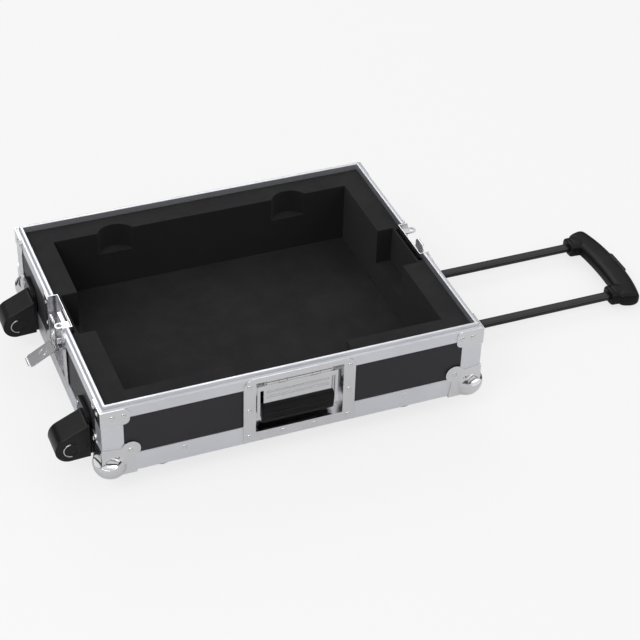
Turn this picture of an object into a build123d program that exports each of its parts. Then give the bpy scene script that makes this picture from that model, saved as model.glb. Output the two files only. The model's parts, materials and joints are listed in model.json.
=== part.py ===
"""Flight case base for a record deck: panels, rim and angle extrusions, ball corners, recessed
sprung handle, butterfly latches, edge castors and a pull-out trolley handle under the floor.

Millimetres, +Z up. X runs along the long side, -Y is the side with the carry handle.
The origin is on the ground, under the centre of the case.
"""

import os
from math import atan2, cos, pi, sin

from build123d import *

# Case body, outside of the metal
CASE_W = 546.0
CASE_D = 446.0
FOOT_H = 36.0
SHELF_H = 110.0
RIDGE_H = 5.2
SHEET = 1.2
PANEL_T = 7.0
ANGLE_LEG = 30.0
FLANGE_H = 16.5
SHELF_W = 4.4
RIM_W = SHEET + PANEL_T + SHEET + 0.1
FIT = 0.3

BASE = FOOT_H
SHELF = BASE + SHELF_H
RIDGE = SHELF + RIDGE_H
FLANGE_LOW = SHELF - FLANGE_H
ANGLE_TOP = BASE + ANGLE_LEG
FLOOR_TOP = BASE + SHEET + PANEL_T
PANEL_TOP = SHELF - SHEET
HALF_W = CASE_W / 2
HALF_D = CASE_D / 2
IN_W = HALF_W - SHEET - PANEL_T
IN_D = HALF_D - SHEET - PANEL_T

# Ball corner
BALL_INSET = 20.0
BALL_R = 25.0
BALL_CORE_R = 22.4
BALL_SHEET = 1.6
LOBE_AT = 38.5
LOBE_R = 13.5
SKIRT = 46.0
DIMPLE_AT = (12.5, 21.0)
DIMPLE_R = 11.0
DIMPLE_DEPTH = 3.6
DIMPLE_WALL = 1.4

# Top corner bracket
BRACKET_LEG = 39.0
BRACKET_LOW = SHELF - 26.0
BRACKET_T = 1.2
BRACKET_RIVETS = (15.5, 31.0)
BRACKET_RIVET_Z = SHELF - 12.0

# Foam lining
CAVITY_W = 457.0
CAVITY_D = 357.0
CAVITY_Y = -3.0
FOAM_TOP = SHELF - 4.0
FOAM_GAP = 0.4
FINGER_W = 92.0
FINGER_DEEP = 24.0
FINGER_FLOOR = 84.0
HANDLE_GAP_W = 166.0
HINGE_BAY_X = 136.0
HINGE_BAY_R = 30.0
HINGE_BAY_Y = 162.0
HINGE_BAY_FLOOR = 104.0
PAD_T = 3.0

# Rubber feet
FOOT_X = 179.5
FOOT_Y = 166.5
FOOT_R_TOP = 21.0
FOOT_R_LOW = 19.0
FOOT_BORE_R = 9.0
FOOT_BORE_TOP = 27.0

# Recessed carry handle
HANDLE_X = 3.0
HPLATE_W = 161.0
HPLATE_LOW = BASE + 3.0
HPLATE_TOP = BASE + 110.5
HPLATE_T = 1.4
HPLATE_R = 16.0
HDISH_W = 126.0
HDISH_LOW = BASE + 18.0
HDISH_TOP = BASE + 102.0
HDISH_DEEP = 17.0
HDISH_SHEET = 1.2
HPIN_Z = BASE + 96.0
HPIN_Y = -HALF_D + 4.6
HPIN_R = 2.5
BAIL_W = 116.0
BAIL_T = 2.0
BAIL_LOW = BASE + 27.0
GRIP_W = 104.0
GRIP_LOW = BASE + 25.0
GRIP_TOP = BASE + 57.0
GRIP_T = 12.0
KNUCKLE_R = 4.2
SPRING_WIRE = 1.3
SPRING_R = 4.0
SPRING_TURNS = 5
SPRING_X = 55.0
SPRING_PITCH = 1.85

# Butterfly latches
LATCH_W = 112.0
LATCH_LOW = BASE + 18.0
LATCH_RECESS_W = 76.0
LATCH_RECESS_LOW = BASE + 28.0
LATCH_DEEP = 13.5
LATCH_SHEET = 1.2
TWIST_Z = BASE + 60.0
TWIST_R = 9.0
WING_PIN_OUT = 3.9
WING_PIN_R = 1.8
WING_W = 26.0
WING_L = 46.0
WING_T = 1.6
WING_DROP = 30.0
CURL_R = 1.7
BOLT_W = 34.0
BOLT_T = 2.0
CAM_THROW = 4.5
CAM_R = 7.0
CAM_PLAY = 1.2
EYE_Y = 26.5
EYE_R = 6.3
EYE_HOLE_R = 3.9
EYE_T = 2.0

# Edge castors
CASTOR_Y = 143.5
CASTOR_AXLE_OUT = 31.0
CASTOR_AXLE_Z = BASE + 20.0
CASTOR_R = 17.6
CASTOR_PLATE_W = 54.0
CASTOR_PLATE_T = 5.0
CASTOR_TOP = BASE + 66.0
CASTOR_BODY_W = 40.0
CASTOR_BODY_Y = -15.0
WHEEL_R = 20.0
WHEEL_W = 30.0
AXLE_R = 3.0
RIDGE_R = 10.6

# Trolley handle
TUBE_Y = 67.5
TUBE_Z = 18.0
TUBE_W = 15.5
TUBE_T = 9.0
TUBE_WALL = 1.2
TUBE_OUT = 570.0
TUBE_IN = 165.0
SLEEVE_W = 19.4
SLEEVE_T = 12.9
SLEEVE_WALL = 1.5
SLEEVE_IN = -130.0
SLEEVE_OUT = HALF_W - 1.0
GRIP_REACH = 624.0
GRIP_HALF = 88.0
GRIP_INNER = 586.0
COLLAR_HALF = 17.0
COLLAR_T = 24.0
BUTTON_L = 50.0
ROD_R = 1.5


def block(x0, x1, y0, y1, z0, z1):
    """Box between two corners."""
    at = Pos((x0 + x1) / 2, (y0 + y1) / 2, (z0 + z1) / 2)
    return at * Box(abs(x1 - x0), abs(y1 - y0), abs(z1 - z0))


def prism(points, plane, depth):
    """Closed polygon on a plane, extruded along the plane's normal."""
    return extrude(plane * make_face(Polyline(*points, close=True)), depth)


def rod(axis, centre, radius, length):
    """Round bar of a length, centred on a point."""
    turn = {"x": Rot(0, 90, 0), "y": Rot(90, 0, 0), "z": Rot(0, 0, 0)}[axis]
    return Pos(*centre) * turn * Cylinder(radius, length)


def rounded(width, height, radius, plane, depth):
    """Rectangle with round corners, centred on a plane and extruded along its normal."""
    return extrude(plane * RectangleRounded(width, height, radius), depth)


def solids(shape):
    """List of the solids in a shape."""
    return list(shape.solids())


def group(parts):
    """Several separate solids as one compound."""
    found = []
    for part in parts:
        found += solids(part)
    return Compound(children=found)


def save(name, shape):
    """One node: one STEP file."""
    export_step(shape if isinstance(shape, Compound) else group([shape]), f"parts/{name}.step")


def corners():
    """Signs of the four corners in plan."""
    return [(sx, sy) for sx in (-1, 1) for sy in (-1, 1)]


def to_side(shape, side):
    """Carry a piece modelled at the right wall to the left (-1) by a half turn about Z."""
    return shape if side > 0 else Rot(0, 0, 180) * shape


def rivet(normal, at, radius=3.6, height=1.1):
    """Low rivet head that tapers outwards, on a face with the given normal."""
    plane = Plane(origin=at, z_dir=normal)
    return extrude(plane * Circle(radius), height, taper=35)


def sphere(centre, radius):
    """Ball turned out of line with the walls, so that no cut runs through its poles."""
    return Pos(*centre) * Rot(24, 33, 11) * Sphere(radius)


def corner_planes():
    """The two upright faces and the underside at the right front corner, with their outward sense."""
    at = (HALF_W, -HALF_D, BASE)
    return [
        (Plane(origin=at, x_dir=(-1, 0, 0), z_dir=(0, 1, 0)), -1),
        (Plane(origin=at, x_dir=(0, 1, 0), z_dir=(1, 0, 0)), 1),
        (Plane(origin=at, x_dir=(-1, 0, 0), z_dir=(0, 0, -1)), 1),
    ]


def ball_centre():
    """Centre of the ball at the right front corner."""
    return Vector(HALF_W - BALL_INSET, -HALF_D + BALL_INSET, BASE + BALL_INSET)


def dimple_centres():
    """Centres of the balls that press the two stacking dimples of one corner."""
    centre = ball_centre()
    found = []
    for plane, _ in corner_planes()[:2]:
        spot = plane.from_local_coords(Vector(DIMPLE_AT[0], DIMPLE_AT[1], 0))
        found.append(centre + (spot - centre).normalized() * (BALL_R + DIMPLE_R - DIMPLE_DEPTH))
    return found


def at_corner(shape, sx, sy):
    """Mirror a piece of the right front corner to another corner."""
    if sx < 0:
        shape = mirror(shape, Plane.YZ)
    return mirror(shape, Plane.XZ) if sy > 0 else shape


def corner_void():
    """What a ball corner takes out of the sheet metal and panels at the right front corner."""
    centre = ball_centre()
    cube = block(centre.X, HALF_W + 1, centre.Y, -HALF_D - 1, BASE - 1, centre.Z)
    void = cube - sphere(centre, BALL_CORE_R)
    for spot in dimple_centres():
        void += sphere(spot, DIMPLE_R + DIMPLE_WALL)
    return void


def trim_corners(shape):
    """Cut the bottom corners away where the ball corners take their place."""
    void = corner_void()
    for sx, sy in corners():
        shape = shape - at_corner(void, sx, sy)
    return shape


def rim_profile():
    """Rim section on the front wall: d is the way in from the outer face, then the height."""
    return [
        (0.0, FLANGE_LOW), (0.0, SHELF - 0.5), (0.5, SHELF), (SHELF_W - 0.6, SHELF),
        (SHELF_W, SHELF + 0.6), (SHELF_W + 0.4, RIDGE - 0.6), (SHELF_W + 1.0, RIDGE),
        (RIM_W - 0.8, RIDGE), (RIM_W, RIDGE - 0.8), (RIM_W, FLANGE_LOW + 3),
        (RIM_W - SHEET, FLANGE_LOW + 3), (RIM_W - SHEET, PANEL_TOP + 0.1),
        (SHEET, PANEL_TOP + 0.1), (SHEET, FLANGE_LOW),
    ]


def angle_profile():
    """Bottom angle section, with a small bead on its upper edge."""
    return [
        (0.6, BASE), (ANGLE_LEG, BASE), (ANGLE_LEG, BASE + SHEET), (SHEET, BASE + SHEET),
        (SHEET, ANGLE_TOP), (0.3, ANGLE_TOP), (0.0, ANGLE_TOP - 0.4), (0.0, BASE + 0.6),
    ]


def edge_run(profile, reach, half, side):
    """Mitred extrusion along one edge: reach is the wall's distance from the middle."""
    plane = Plane(origin=(-half, -reach, 0), x_dir=(0, 1, 0), z_dir=(1, 0, 0))
    run = prism(profile, plane, 2 * half)
    deep = ANGLE_LEG + 5
    wedge = [(-half, -reach), (half, -reach), (half - deep, -reach + deep), (-half + deep, -reach + deep)]
    run = run & prism(wedge, Plane.XY, 400)
    return Rot(0, 0, side * 90) * run


def handle_envelope():
    """Cut-out in the front wall for the carry handle's dish."""
    half = HDISH_W / 2 + HDISH_SHEET + FIT
    return block(HANDLE_X - half, HANDLE_X + half, -HALF_D - 1, -IN_D + 5,
                 HDISH_LOW - HDISH_SHEET - FIT, HDISH_TOP + HDISH_SHEET + FIT)


def latch_envelope(side):
    """Cut-out in a side wall for a latch dish, open at the top."""
    half = LATCH_RECESS_W / 2 + LATCH_SHEET + FIT
    return block(side * (IN_W - 5), side * (HALF_W + 1), -half, half,
                 LATCH_RECESS_LOW - LATCH_SHEET - FIT, RIDGE + 1)


def make_panels():
    """Floor and four walls of laminated plywood, with the openings for the hardware."""
    outer_w, outer_d = HALF_W - SHEET, HALF_D - SHEET
    floor = block(-outer_w, outer_w, -outer_d, outer_d, BASE + SHEET, FLOOR_TOP)
    save("floor_panel", trim_corners(floor))
    for name, sy in (("front_panel", -1), ("back_panel", 1)):
        wall = block(-outer_w, outer_w, sy * IN_D, sy * outer_d, FLOOR_TOP, PANEL_TOP)
        if sy < 0:
            wall -= handle_envelope()
        save(name, trim_corners(wall))
    for name, side in (("left_panel", -1), ("right_panel", 1)):
        wall = block(side * IN_W, side * outer_w, -IN_D, IN_D, FLOOR_TOP, PANEL_TOP)
        save(name, trim_corners(wall - latch_envelope(side)))


def make_rims():
    """Tongue extrusions on the wall tops; the side ones stop at the latch dishes."""
    save("front_rim", edge_run(rim_profile(), HALF_D, HALF_W, 0) - handle_envelope())
    save("back_rim", edge_run(rim_profile(), HALF_D, HALF_W, 2))
    for name, turn, side in (("right_rim", 1, 1), ("left_rim", 3, -1)):
        run = edge_run(rim_profile(), HALF_W, HALF_D, turn)
        save(name, run - latch_envelope(side))


def make_angles():
    """Angle extrusions round the bottom, and the upright ones at the four corners."""
    for name, reach, half, side in (
        ("front_angle", HALF_D, HALF_W, 0), ("right_angle", HALF_W, HALF_D, 1),
        ("back_angle", HALF_D, HALF_W, 2), ("left_angle", HALF_W, HALF_D, 3),
    ):
        run = trim_corners(edge_run(angle_profile(), reach, half, side))
        save(name, run - handle_envelope() - latch_envelope(1) - latch_envelope(-1))
    posts = []
    for sx, sy in corners():
        legs = [(0, 0), (ANGLE_LEG, 0), (ANGLE_LEG, SHEET), (SHEET, SHEET), (SHEET, ANGLE_LEG), (0, ANGLE_LEG)]
        points = [(sx * (HALF_W - a), sy * (HALF_D - b)) for a, b in legs]
        post = prism(points, Plane.XY.offset(ANGLE_TOP), FLANGE_LOW - ANGLE_TOP)
        posts.append(trim_corners(post))
    save("corner_posts", group(posts))


def lobe_face():
    """Outline of one flange of a ball corner: a straight skirt that swells into a lobe."""
    reach, skirt = LOBE_AT, SKIRT
    circle = Pos(reach, reach) * Circle(LOBE_R)
    skirt_face = make_face(Polyline((0, 0), (skirt, 0), (reach + 4, reach - 12.8),
                                    (reach - 12.8, reach + 4), (0, skirt), close=True))
    return skirt_face + circle


def make_ball_corners():
    """Bottom corners: a rounded ball with stacking dimples and a riveted lobe on each face."""
    centre = ball_centre()
    cx, cy, cz = centre.X, centre.Y, centre.Z
    face = lobe_face()
    cube = block(cx, HALF_W + 9, cy, -HALF_D - 9, BASE - 9, cz)
    x1, y0, z0 = HALF_W + BALL_SHEET, -HALF_D - BALL_SHEET, BASE - BALL_SHEET
    corner = block(HALF_W, x1, y0, -HALF_D, z0, BASE + SKIRT)
    corner += block(HALF_W - SKIRT, x1, y0, -HALF_D, z0, BASE)
    corner += block(HALF_W, x1, y0, -HALF_D + SKIRT, z0, BASE)
    for plane, sense in corner_planes():
        corner += extrude(plane * face, sense * BALL_SHEET)
    corner = corner - cube + sphere(centre, BALL_R)
    corner -= block(cx - 60, cx, -HALF_D, cy + 60, BASE, cz + 60)
    corner -= block(cx - 1, HALF_W, cy, cy + 60, BASE, cz + 60)
    corner -= block(cx - 1, HALF_W, -HALF_D, cy + 1, cz, cz + 60)
    corner -= sphere(centre, BALL_CORE_R)
    inside = block(HALF_W - 8, HALF_W + 1, -HALF_D - 1, cy + 20, BASE, cz + 20)
    inside += block(HALF_W - 50, HALF_W + 1, -HALF_D - 1, -HALF_D + 8, BASE, cz + 20)
    for spot in dimple_centres():
        corner += sphere(spot, DIMPLE_R + DIMPLE_WALL) & inside
    for spot in dimple_centres():
        corner -= sphere(spot, DIMPLE_R)
    save("ball_corners", group([at_corner(corner, sx, sy) for sx, sy in corners()]))


def make_brackets():
    """Top corner brackets: two riveted legs with round ends, folded over the rim shelf."""
    height = SHELF - BRACKET_LOW
    leg = Pos(BRACKET_LEG / 2, height / 2) * Rectangle(BRACKET_LEG, height)
    leg = fillet(leg.vertices().sort_by(Axis.X)[-2:], 8)
    front = extrude(Plane(origin=(-HALF_W, -HALF_D, BRACKET_LOW), x_dir=(1, 0, 0), z_dir=(0, -1, 0)) * leg,
                    BRACKET_T)
    side = extrude(Plane(origin=(-HALF_W, -HALF_D, BRACKET_LOW), x_dir=(0, 1, 0), z_dir=(1, 0, 0)) * leg,
                   -BRACKET_T)
    join = block(-HALF_W - BRACKET_T, -HALF_W, -HALF_D - BRACKET_T, -HALF_D, BRACKET_LOW, SHELF)
    both = at_corner(front + side + join, -1, -1)
    save("corner_brackets", group([at_corner(both, sx, sy) for sx, sy in corners()]))


def make_foam():
    """Foam lining with the deck's cavity, finger bays, a front gap and two bays for lid hinges."""
    w, d = IN_W - FOAM_GAP, IN_D - FOAM_GAP
    low = FLOOR_TOP
    ring = block(-w, w, -d, d, low, FLANGE_LOW + 2)
    w_top, d_top = HALF_W - RIM_W - FOAM_GAP, HALF_D - RIM_W - FOAM_GAP
    ring += block(-w_top, w_top, -d_top, d_top, low, FOAM_TOP)
    y0, y1 = CAVITY_Y - CAVITY_D / 2, CAVITY_Y + CAVITY_D / 2
    ring -= block(-CAVITY_W / 2, CAVITY_W / 2, y0, y1, low - 1, FOAM_TOP + 1)
    reach = CAVITY_W / 2 + FINGER_DEEP
    ring -= block(-reach, reach, -FINGER_W / 2, FINGER_W / 2, FINGER_FLOOR, FOAM_TOP + 1)
    gap = HANDLE_GAP_W / 2
    ring -= block(HANDLE_X - gap, HANDLE_X + gap, -d - 1, y0 + 1, low - 1, FOAM_TOP + 1)
    for sx in (-1, 1):
        bay = Pos(sx * HINGE_BAY_X, HINGE_BAY_Y, (HINGE_BAY_FLOOR + FOAM_TOP + 1) / 2)
        ring -= bay * Cylinder(HINGE_BAY_R, FOAM_TOP + 1 - HINGE_BAY_FLOOR)
        half = LATCH_RECESS_W / 2 + 4
        back = HALF_W - LATCH_DEEP - LATCH_SHEET - 2.5
        ring -= block(sx * back, sx * (w + 1), -half, half, LATCH_RECESS_LOW - 4, FOAM_TOP + 1)
    save("foam_lining", ring)
    half = CAVITY_W / 2 - FIT
    save("floor_pad", block(-half, half, y0 + FIT, y1 - FIT, FLOOR_TOP, FLOOR_TOP + PAD_T))


def make_feet():
    """Tapered rubber feet, each with a counterbore for its screw."""
    feet, screws = [], []
    for sx, sy in corners():
        foot = Pos(sx * FOOT_X, sy * FOOT_Y, 0)
        cone = foot * Pos(0, 0, FOOT_H / 2) * Cone(FOOT_R_LOW, FOOT_R_TOP, FOOT_H)
        cone -= foot * Pos(0, 0, FOOT_BORE_TOP / 2) * Cylinder(FOOT_BORE_R, FOOT_BORE_TOP)
        cone -= foot * Pos(0, 0, FOOT_H - 4) * Cylinder(2.6, 12)
        feet.append(cone)
        head = Pos(0, 0, FOOT_BORE_TOP - 2) * Cone(2.6, 5.5, 4)
        shank = Pos(0, 0, (FOOT_BORE_TOP + FOOT_H) / 2) * Cylinder(2.5, FOOT_H - FOOT_BORE_TOP)
        screws.append(foot * (head + shank))
    save("rubber_feet", group(feet))
    save("foot_screws", group(screws))


def make_handle():
    """Recessed carry handle: dish, hinge pin, sprung bail plate and moulded grip."""
    front = -HALF_D
    plane = Plane(origin=(HANDLE_X, front, 0), x_dir=(1, 0, 0), z_dir=(0, -1, 0))
    mid = (HPLATE_LOW + HPLATE_TOP) / 2
    plate = Pos(0, mid) * Rectangle(HPLATE_W, HPLATE_TOP - HPLATE_LOW)
    plate = fillet(plate.vertices().sort_by(Axis.Y)[-2:], HPLATE_R)
    plate = extrude(plane * plate, HPLATE_T)
    dish_mid, dish_h = (HDISH_LOW + HDISH_TOP) / 2, HDISH_TOP - HDISH_LOW
    half = HDISH_W / 2
    shell = block(HANDLE_X - half - HDISH_SHEET, HANDLE_X + half + HDISH_SHEET, front,
                  front + HDISH_DEEP + HDISH_SHEET, HDISH_LOW - HDISH_SHEET, HDISH_TOP + HDISH_SHEET)
    hollow = block(HANDLE_X - half, HANDLE_X + half, front - 5, front + HDISH_DEEP, HDISH_LOW, HDISH_TOP)
    dish = plate + shell - hollow
    lug_y = front + HDISH_DEEP
    for sx in (-1, 1):
        x = HANDLE_X + sx * 23.5
        lug = block(x - 5.5, x + 5.5, HPIN_Y, lug_y, HPIN_Z - KNUCKLE_R, HPIN_Z + KNUCKLE_R)
        lug += rod("x", (x, HPIN_Y, HPIN_Z), KNUCKLE_R, 11)
        dish += lug
    dish -= rod("x", (HANDLE_X, HPIN_Y, HPIN_Z), HPIN_R + 0.05, 60)
    save("handle_dish", dish)
    save("handle_pin", rod("x", (HANDLE_X, HPIN_Y, HPIN_Z), HPIN_R, HDISH_W - 0.4))

    spans = [(-47.0, -29.6), (-17.4, 17.4), (29.6, 47.0)]
    bail_y = HPIN_Y + KNUCKLE_R - BAIL_T
    outline = [
        (-BAIL_W / 2, HPIN_Z - 8), (-BAIL_W / 2, GRIP_LOW + 9), (-BAIL_W / 2 + 7, BAIL_LOW + 1),
        (BAIL_W / 2 - 7, BAIL_LOW + 1), (BAIL_W / 2, GRIP_LOW + 9), (BAIL_W / 2, HPIN_Z - 8),
    ]
    back = Plane(origin=(HANDLE_X, bail_y + BAIL_T, 0), x_dir=(1, 0, 0), z_dir=(0, -1, 0))
    sheet = prism(outline, back, BAIL_T)
    for a, b in spans:
        knuckle = rod("x", (HANDLE_X + (a + b) / 2, HPIN_Y, HPIN_Z), KNUCKLE_R, b - a)
        web = block(HANDLE_X + a, HANDLE_X + b, bail_y, bail_y + BAIL_T, HPIN_Z - 9, HPIN_Z)
        sheet += knuckle + web
    sheet -= rod("x", (HANDLE_X, HPIN_Y, HPIN_Z), HPIN_R + 0.05, HDISH_W)
    for z in (GRIP_TOP + 11, GRIP_TOP + 19):
        bead = rod("x", (HANDLE_X, bail_y, z), 1.5, BAIL_W - 26)
        sheet += bead & block(-200, 200, bail_y - 5, bail_y + 0.5, 0, 300)
    slot = (BAIL_W / 2 - 9, BAIL_W / 2 - 4)
    for sx in (-1, 1):
        x0, x1 = HANDLE_X + sx * slot[0], HANDLE_X + sx * slot[1]
        sheet -= block(x0, x1, front, front + 12, GRIP_LOW + 12, HPIN_Z - 16)
    grip_mid = (GRIP_LOW + GRIP_TOP) / 2
    grip_y = bail_y + BAIL_T / 2
    side = Plane(origin=(HANDLE_X - GRIP_W / 2, grip_y, grip_mid), x_dir=(0, 1, 0), z_dir=(1, 0, 0))
    grip = extrude(side * RectangleRounded(GRIP_T, GRIP_TOP - GRIP_LOW, 5.6), GRIP_W)
    grip = grip - sheet
    save("handle_bail", sheet)
    save("handle_grip", grip)
    make_handle_springs()


def make_handle_springs():
    """Two coil springs on the ends of the handle pin, each swept along a true helix."""
    parts = []
    length = SPRING_PITCH * SPRING_TURNS
    for sx in (-1, 1):
        centre = HANDLE_X + sx * SPRING_X
        helix = Helix(pitch=SPRING_PITCH, height=length, radius=SPRING_R)
        path = Pos(centre - length / 2, HPIN_Y, HPIN_Z) * Rot(0, 90, 0) * helix
        start = path @ 0
        section = Plane(origin=start, z_dir=path % 0) * Circle(SPRING_WIRE / 2)
        parts.append(sweep(section, path=path))
    print("handle spring least gap mm:", round(SPRING_PITCH - SPRING_WIRE, 2))
    save("handle_springs", group(parts))


def make_latches():
    """Recessed butterfly latches: dish, drawbolt with hook, twist boss, pin and two wings."""
    wall = HALF_W
    back = wall - LATCH_DEEP
    half = LATCH_RECESS_W / 2
    plane = Plane(origin=(wall, 0, 0), x_dir=(0, 1, 0), z_dir=(1, 0, 0))
    mid = (LATCH_LOW + SHELF) / 2
    plate = Pos(0, mid) * Rectangle(LATCH_W, SHELF - LATCH_LOW)
    plate = fillet(plate.vertices().sort_by(Axis.Y)[:2], 14)
    plate = extrude(plane * plate, LATCH_SHEET)
    top = RIDGE - 0.4
    shell = block(back - LATCH_SHEET, wall, -half - LATCH_SHEET, half + LATCH_SHEET,
                  LATCH_RECESS_LOW - LATCH_SHEET, top)
    hollow = block(back, wall + 5, -half, half, LATCH_RECESS_LOW, top + 1)
    dish = plate + shell - hollow
    eye = block(back - 0.1, wall + 1.3, EYE_Y - EYE_R, EYE_Y + EYE_R, SHELF - EYE_T / 2, SHELF + EYE_T / 2)
    eye += rod("z", (wall + 1.3, EYE_Y, SHELF), EYE_R, EYE_T)
    eye -= rod("z", (wall + 1.3, EYE_Y, SHELF), EYE_HOLE_R, EYE_T + 2)
    dish += eye
    spindle_r = 3.2
    dish -= rod("x", (back, 0, TWIST_Z), spindle_r + 0.05, 12)

    bolt_x = back + 1.0
    bolt = block(bolt_x, bolt_x + BOLT_T, -BOLT_W / 2, BOLT_W / 2, LATCH_RECESS_LOW + 14, SHELF - 6)
    hook_half = BOLT_W / 2 - 4
    bolt += block(bolt_x, bolt_x + 6.5, -hook_half, hook_half, SHELF - 8, SHELF - 6)
    bolt += block(bolt_x + 4.7, bolt_x + 6.5, -hook_half, hook_half, SHELF - 12, SHELF - 6)
    reach, rise, cam_z = CAM_R + CAM_THROW + 0.5, CAM_R + CAM_PLAY, TWIST_Z - CAM_THROW
    bolt -= block(bolt_x - 1, bolt_x + 3, -reach, reach, cam_z - rise, cam_z + rise)

    pin_x = wall + WING_PIN_OUT
    boss_from, boss_to = back + 3.4, pin_x - 3.9
    boss = rod("x", ((boss_from + boss_to) / 2, 0, TWIST_Z), TWIST_R, boss_to - boss_from)
    boss += rod("x", (back + 1.0, 0, TWIST_Z), spindle_r, 5.6)
    boss += rod("x", (back + 2.0, 0, cam_z), CAM_R, 3.0)
    boss += block(boss_to - 1, pin_x + 2.2, -4.0, 4.0, TWIST_Z - 2.5, TWIST_Z + 2.5)
    boss -= rod("y", (pin_x, 0, TWIST_Z), WING_PIN_R + 0.05, 20)
    wing_pin = rod("y", (pin_x, 0, TWIST_Z), WING_PIN_R, WING_W + 1)

    upper = make_wing(pin_x, 90, (4.4, 8.4), -1)
    lower = make_wing(pin_x, -WING_DROP, (8.8, 12.8), 1)
    for name, side in (("right", 1), ("left", -1)):
        save(f"{name}_latch_dish", to_side(dish, side))
        save(f"{name}_drawbolt", to_side(bolt, side))
        save(f"{name}_twist_boss", to_side(boss, side))
        save(f"{name}_wing_pin", to_side(wing_pin, side))
        save(f"{name}_upper_wing", to_side(upper, side))
        save(f"{name}_lower_wing", to_side(lower, side))


def make_wing(pin_x, angle, knuckle, sense):
    """One wing of the twist handle: curled tip and pressed ring on the face that sense names."""
    outline = [
        (3.6, -WING_W / 2), (WING_L - 5, -WING_W / 2), (WING_L, -WING_W / 2 + 4),
        (WING_L, WING_W / 2 - 4), (WING_L - 5, WING_W / 2), (3.6, WING_W / 2),
    ]
    sheet = prism(outline, Plane.XY.offset(-WING_T / 2), WING_T)
    sheet += rod("y", (WING_L - 1.2, 0, sense * (CURL_R - WING_T / 2)), CURL_R, WING_W - 8)
    sheet += Pos(WING_L * 0.42, 0, sense * WING_T / 2) * (Cylinder(6.5, 1.2) - Cylinder(5.2, 3))
    for sy in (-1, 1):
        near, far = sy * knuckle[0], sy * knuckle[1]
        mid = (near + far) / 2
        sheet += rod("y", (0, mid, 0), WING_PIN_R + 1.5, abs(far - near))
        sheet += block(0, 4.2, near, far, -WING_T / 2, WING_T / 2)
    sheet -= rod("y", (0, 0, 0), WING_PIN_R + 0.05, WING_W + 4)
    return Pos(pin_x, 0, TWIST_Z) * Rot(0, -angle, 0) * sheet


def make_castors():
    """Edge castors on the left wall: moulded housing, wheel with tyre, and axle."""
    wall = -HALF_W
    for name, sy in (("front", -1), ("back", 1)):
        cy = sy * CASTOR_Y
        ax, az = wall - CASTOR_AXLE_OUT, CASTOR_AXLE_Z
        plane = Plane(origin=(wall, cy, 0), x_dir=(0, -1, 0), z_dir=(-1, 0, 0))
        plate = Pos(0, (BASE + CASTOR_TOP) / 2) * Rectangle(CASTOR_PLATE_W, CASTOR_TOP - BASE)
        plate = fillet(plate.vertices().sort_by(Axis.Y)[-2:], 14)
        plate = extrude(plane * plate, CASTOR_PLATE_T)
        cy += CASTOR_BODY_Y
        out = wall - CASTOR_PLATE_T + 0.5
        side = Plane(origin=(0, cy + CASTOR_BODY_W / 2, 0), x_dir=(1, 0, 0), z_dir=(0, -1, 0))
        slope = atan2(CASTOR_TOP - 14 - az, out - ax)
        top = (ax + CASTOR_R * cos(slope + pi / 2), az + CASTOR_R * sin(slope + pi / 2))
        web = [(out, BASE + 2), (ax, az - CASTOR_R), top, (out, CASTOR_TOP - 12)]
        body = prism(web, side, CASTOR_BODY_W)
        body += rod("y", (ax, cy, az), CASTOR_R, CASTOR_BODY_W)
        body += plate
        slot_w = WHEEL_W + 2
        body -= rod("y", (ax, cy, az), WHEEL_R + 1.5, slot_w)
        body -= block(ax - 40, ax, cy - slot_w / 2, cy + slot_w / 2, az - 40, az + 6)
        for sc in (-1, 1):
            face_y = cy + sc * CASTOR_BODY_W / 2
            body += rod("y", (ax, face_y, az), RIDGE_R, 2.4) - rod("y", (ax, face_y, az), RIDGE_R - 1.8, 4)
        body -= rod("y", (ax, cy, az), AXLE_R + 0.05, CASTOR_BODY_W + 8)
        save(f"{name}_castor_housing", body)
        wheel = rod("y", (ax, cy, az), WHEEL_R - 4, WHEEL_W - 2)
        wheel -= rod("y", (ax, cy, az), AXLE_R + 0.05, WHEEL_W)
        for sc in (-1, 1):
            ring = rod("y", (ax, cy + sc * (WHEEL_W / 2 - 3), az), WHEEL_R - 7, 5)
            ring -= rod("y", (ax, cy + sc * (WHEEL_W / 2 - 3), az), AXLE_R + 3, 5)
            wheel -= ring
        tyre = rod("y", (ax, cy, az), WHEEL_R, WHEEL_W)
        tyre = fillet(tyre.edges().filter_by(GeomType.CIRCLE), 3)
        tyre -= rod("y", (ax, cy, az), WHEEL_R - 4, WHEEL_W + 2)
        save(f"{name}_castor_hub", wheel)
        save(f"{name}_castor_tyre", tyre)
        save(f"{name}_castor_axle", rod("y", (ax, cy, az), AXLE_R, CASTOR_BODY_W + 1))


def oval_tube(half_w, half_t, x0, x1, y, z):
    """Flat-sided tube section with round edges, run along X."""
    radius = min(half_w, half_t) * 0.9
    plane = Plane(origin=(x0, y, z), x_dir=(0, 1, 0), z_dir=(1, 0, 0))
    return rounded(2 * half_w, 2 * half_t, radius, plane, x1 - x0)


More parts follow.
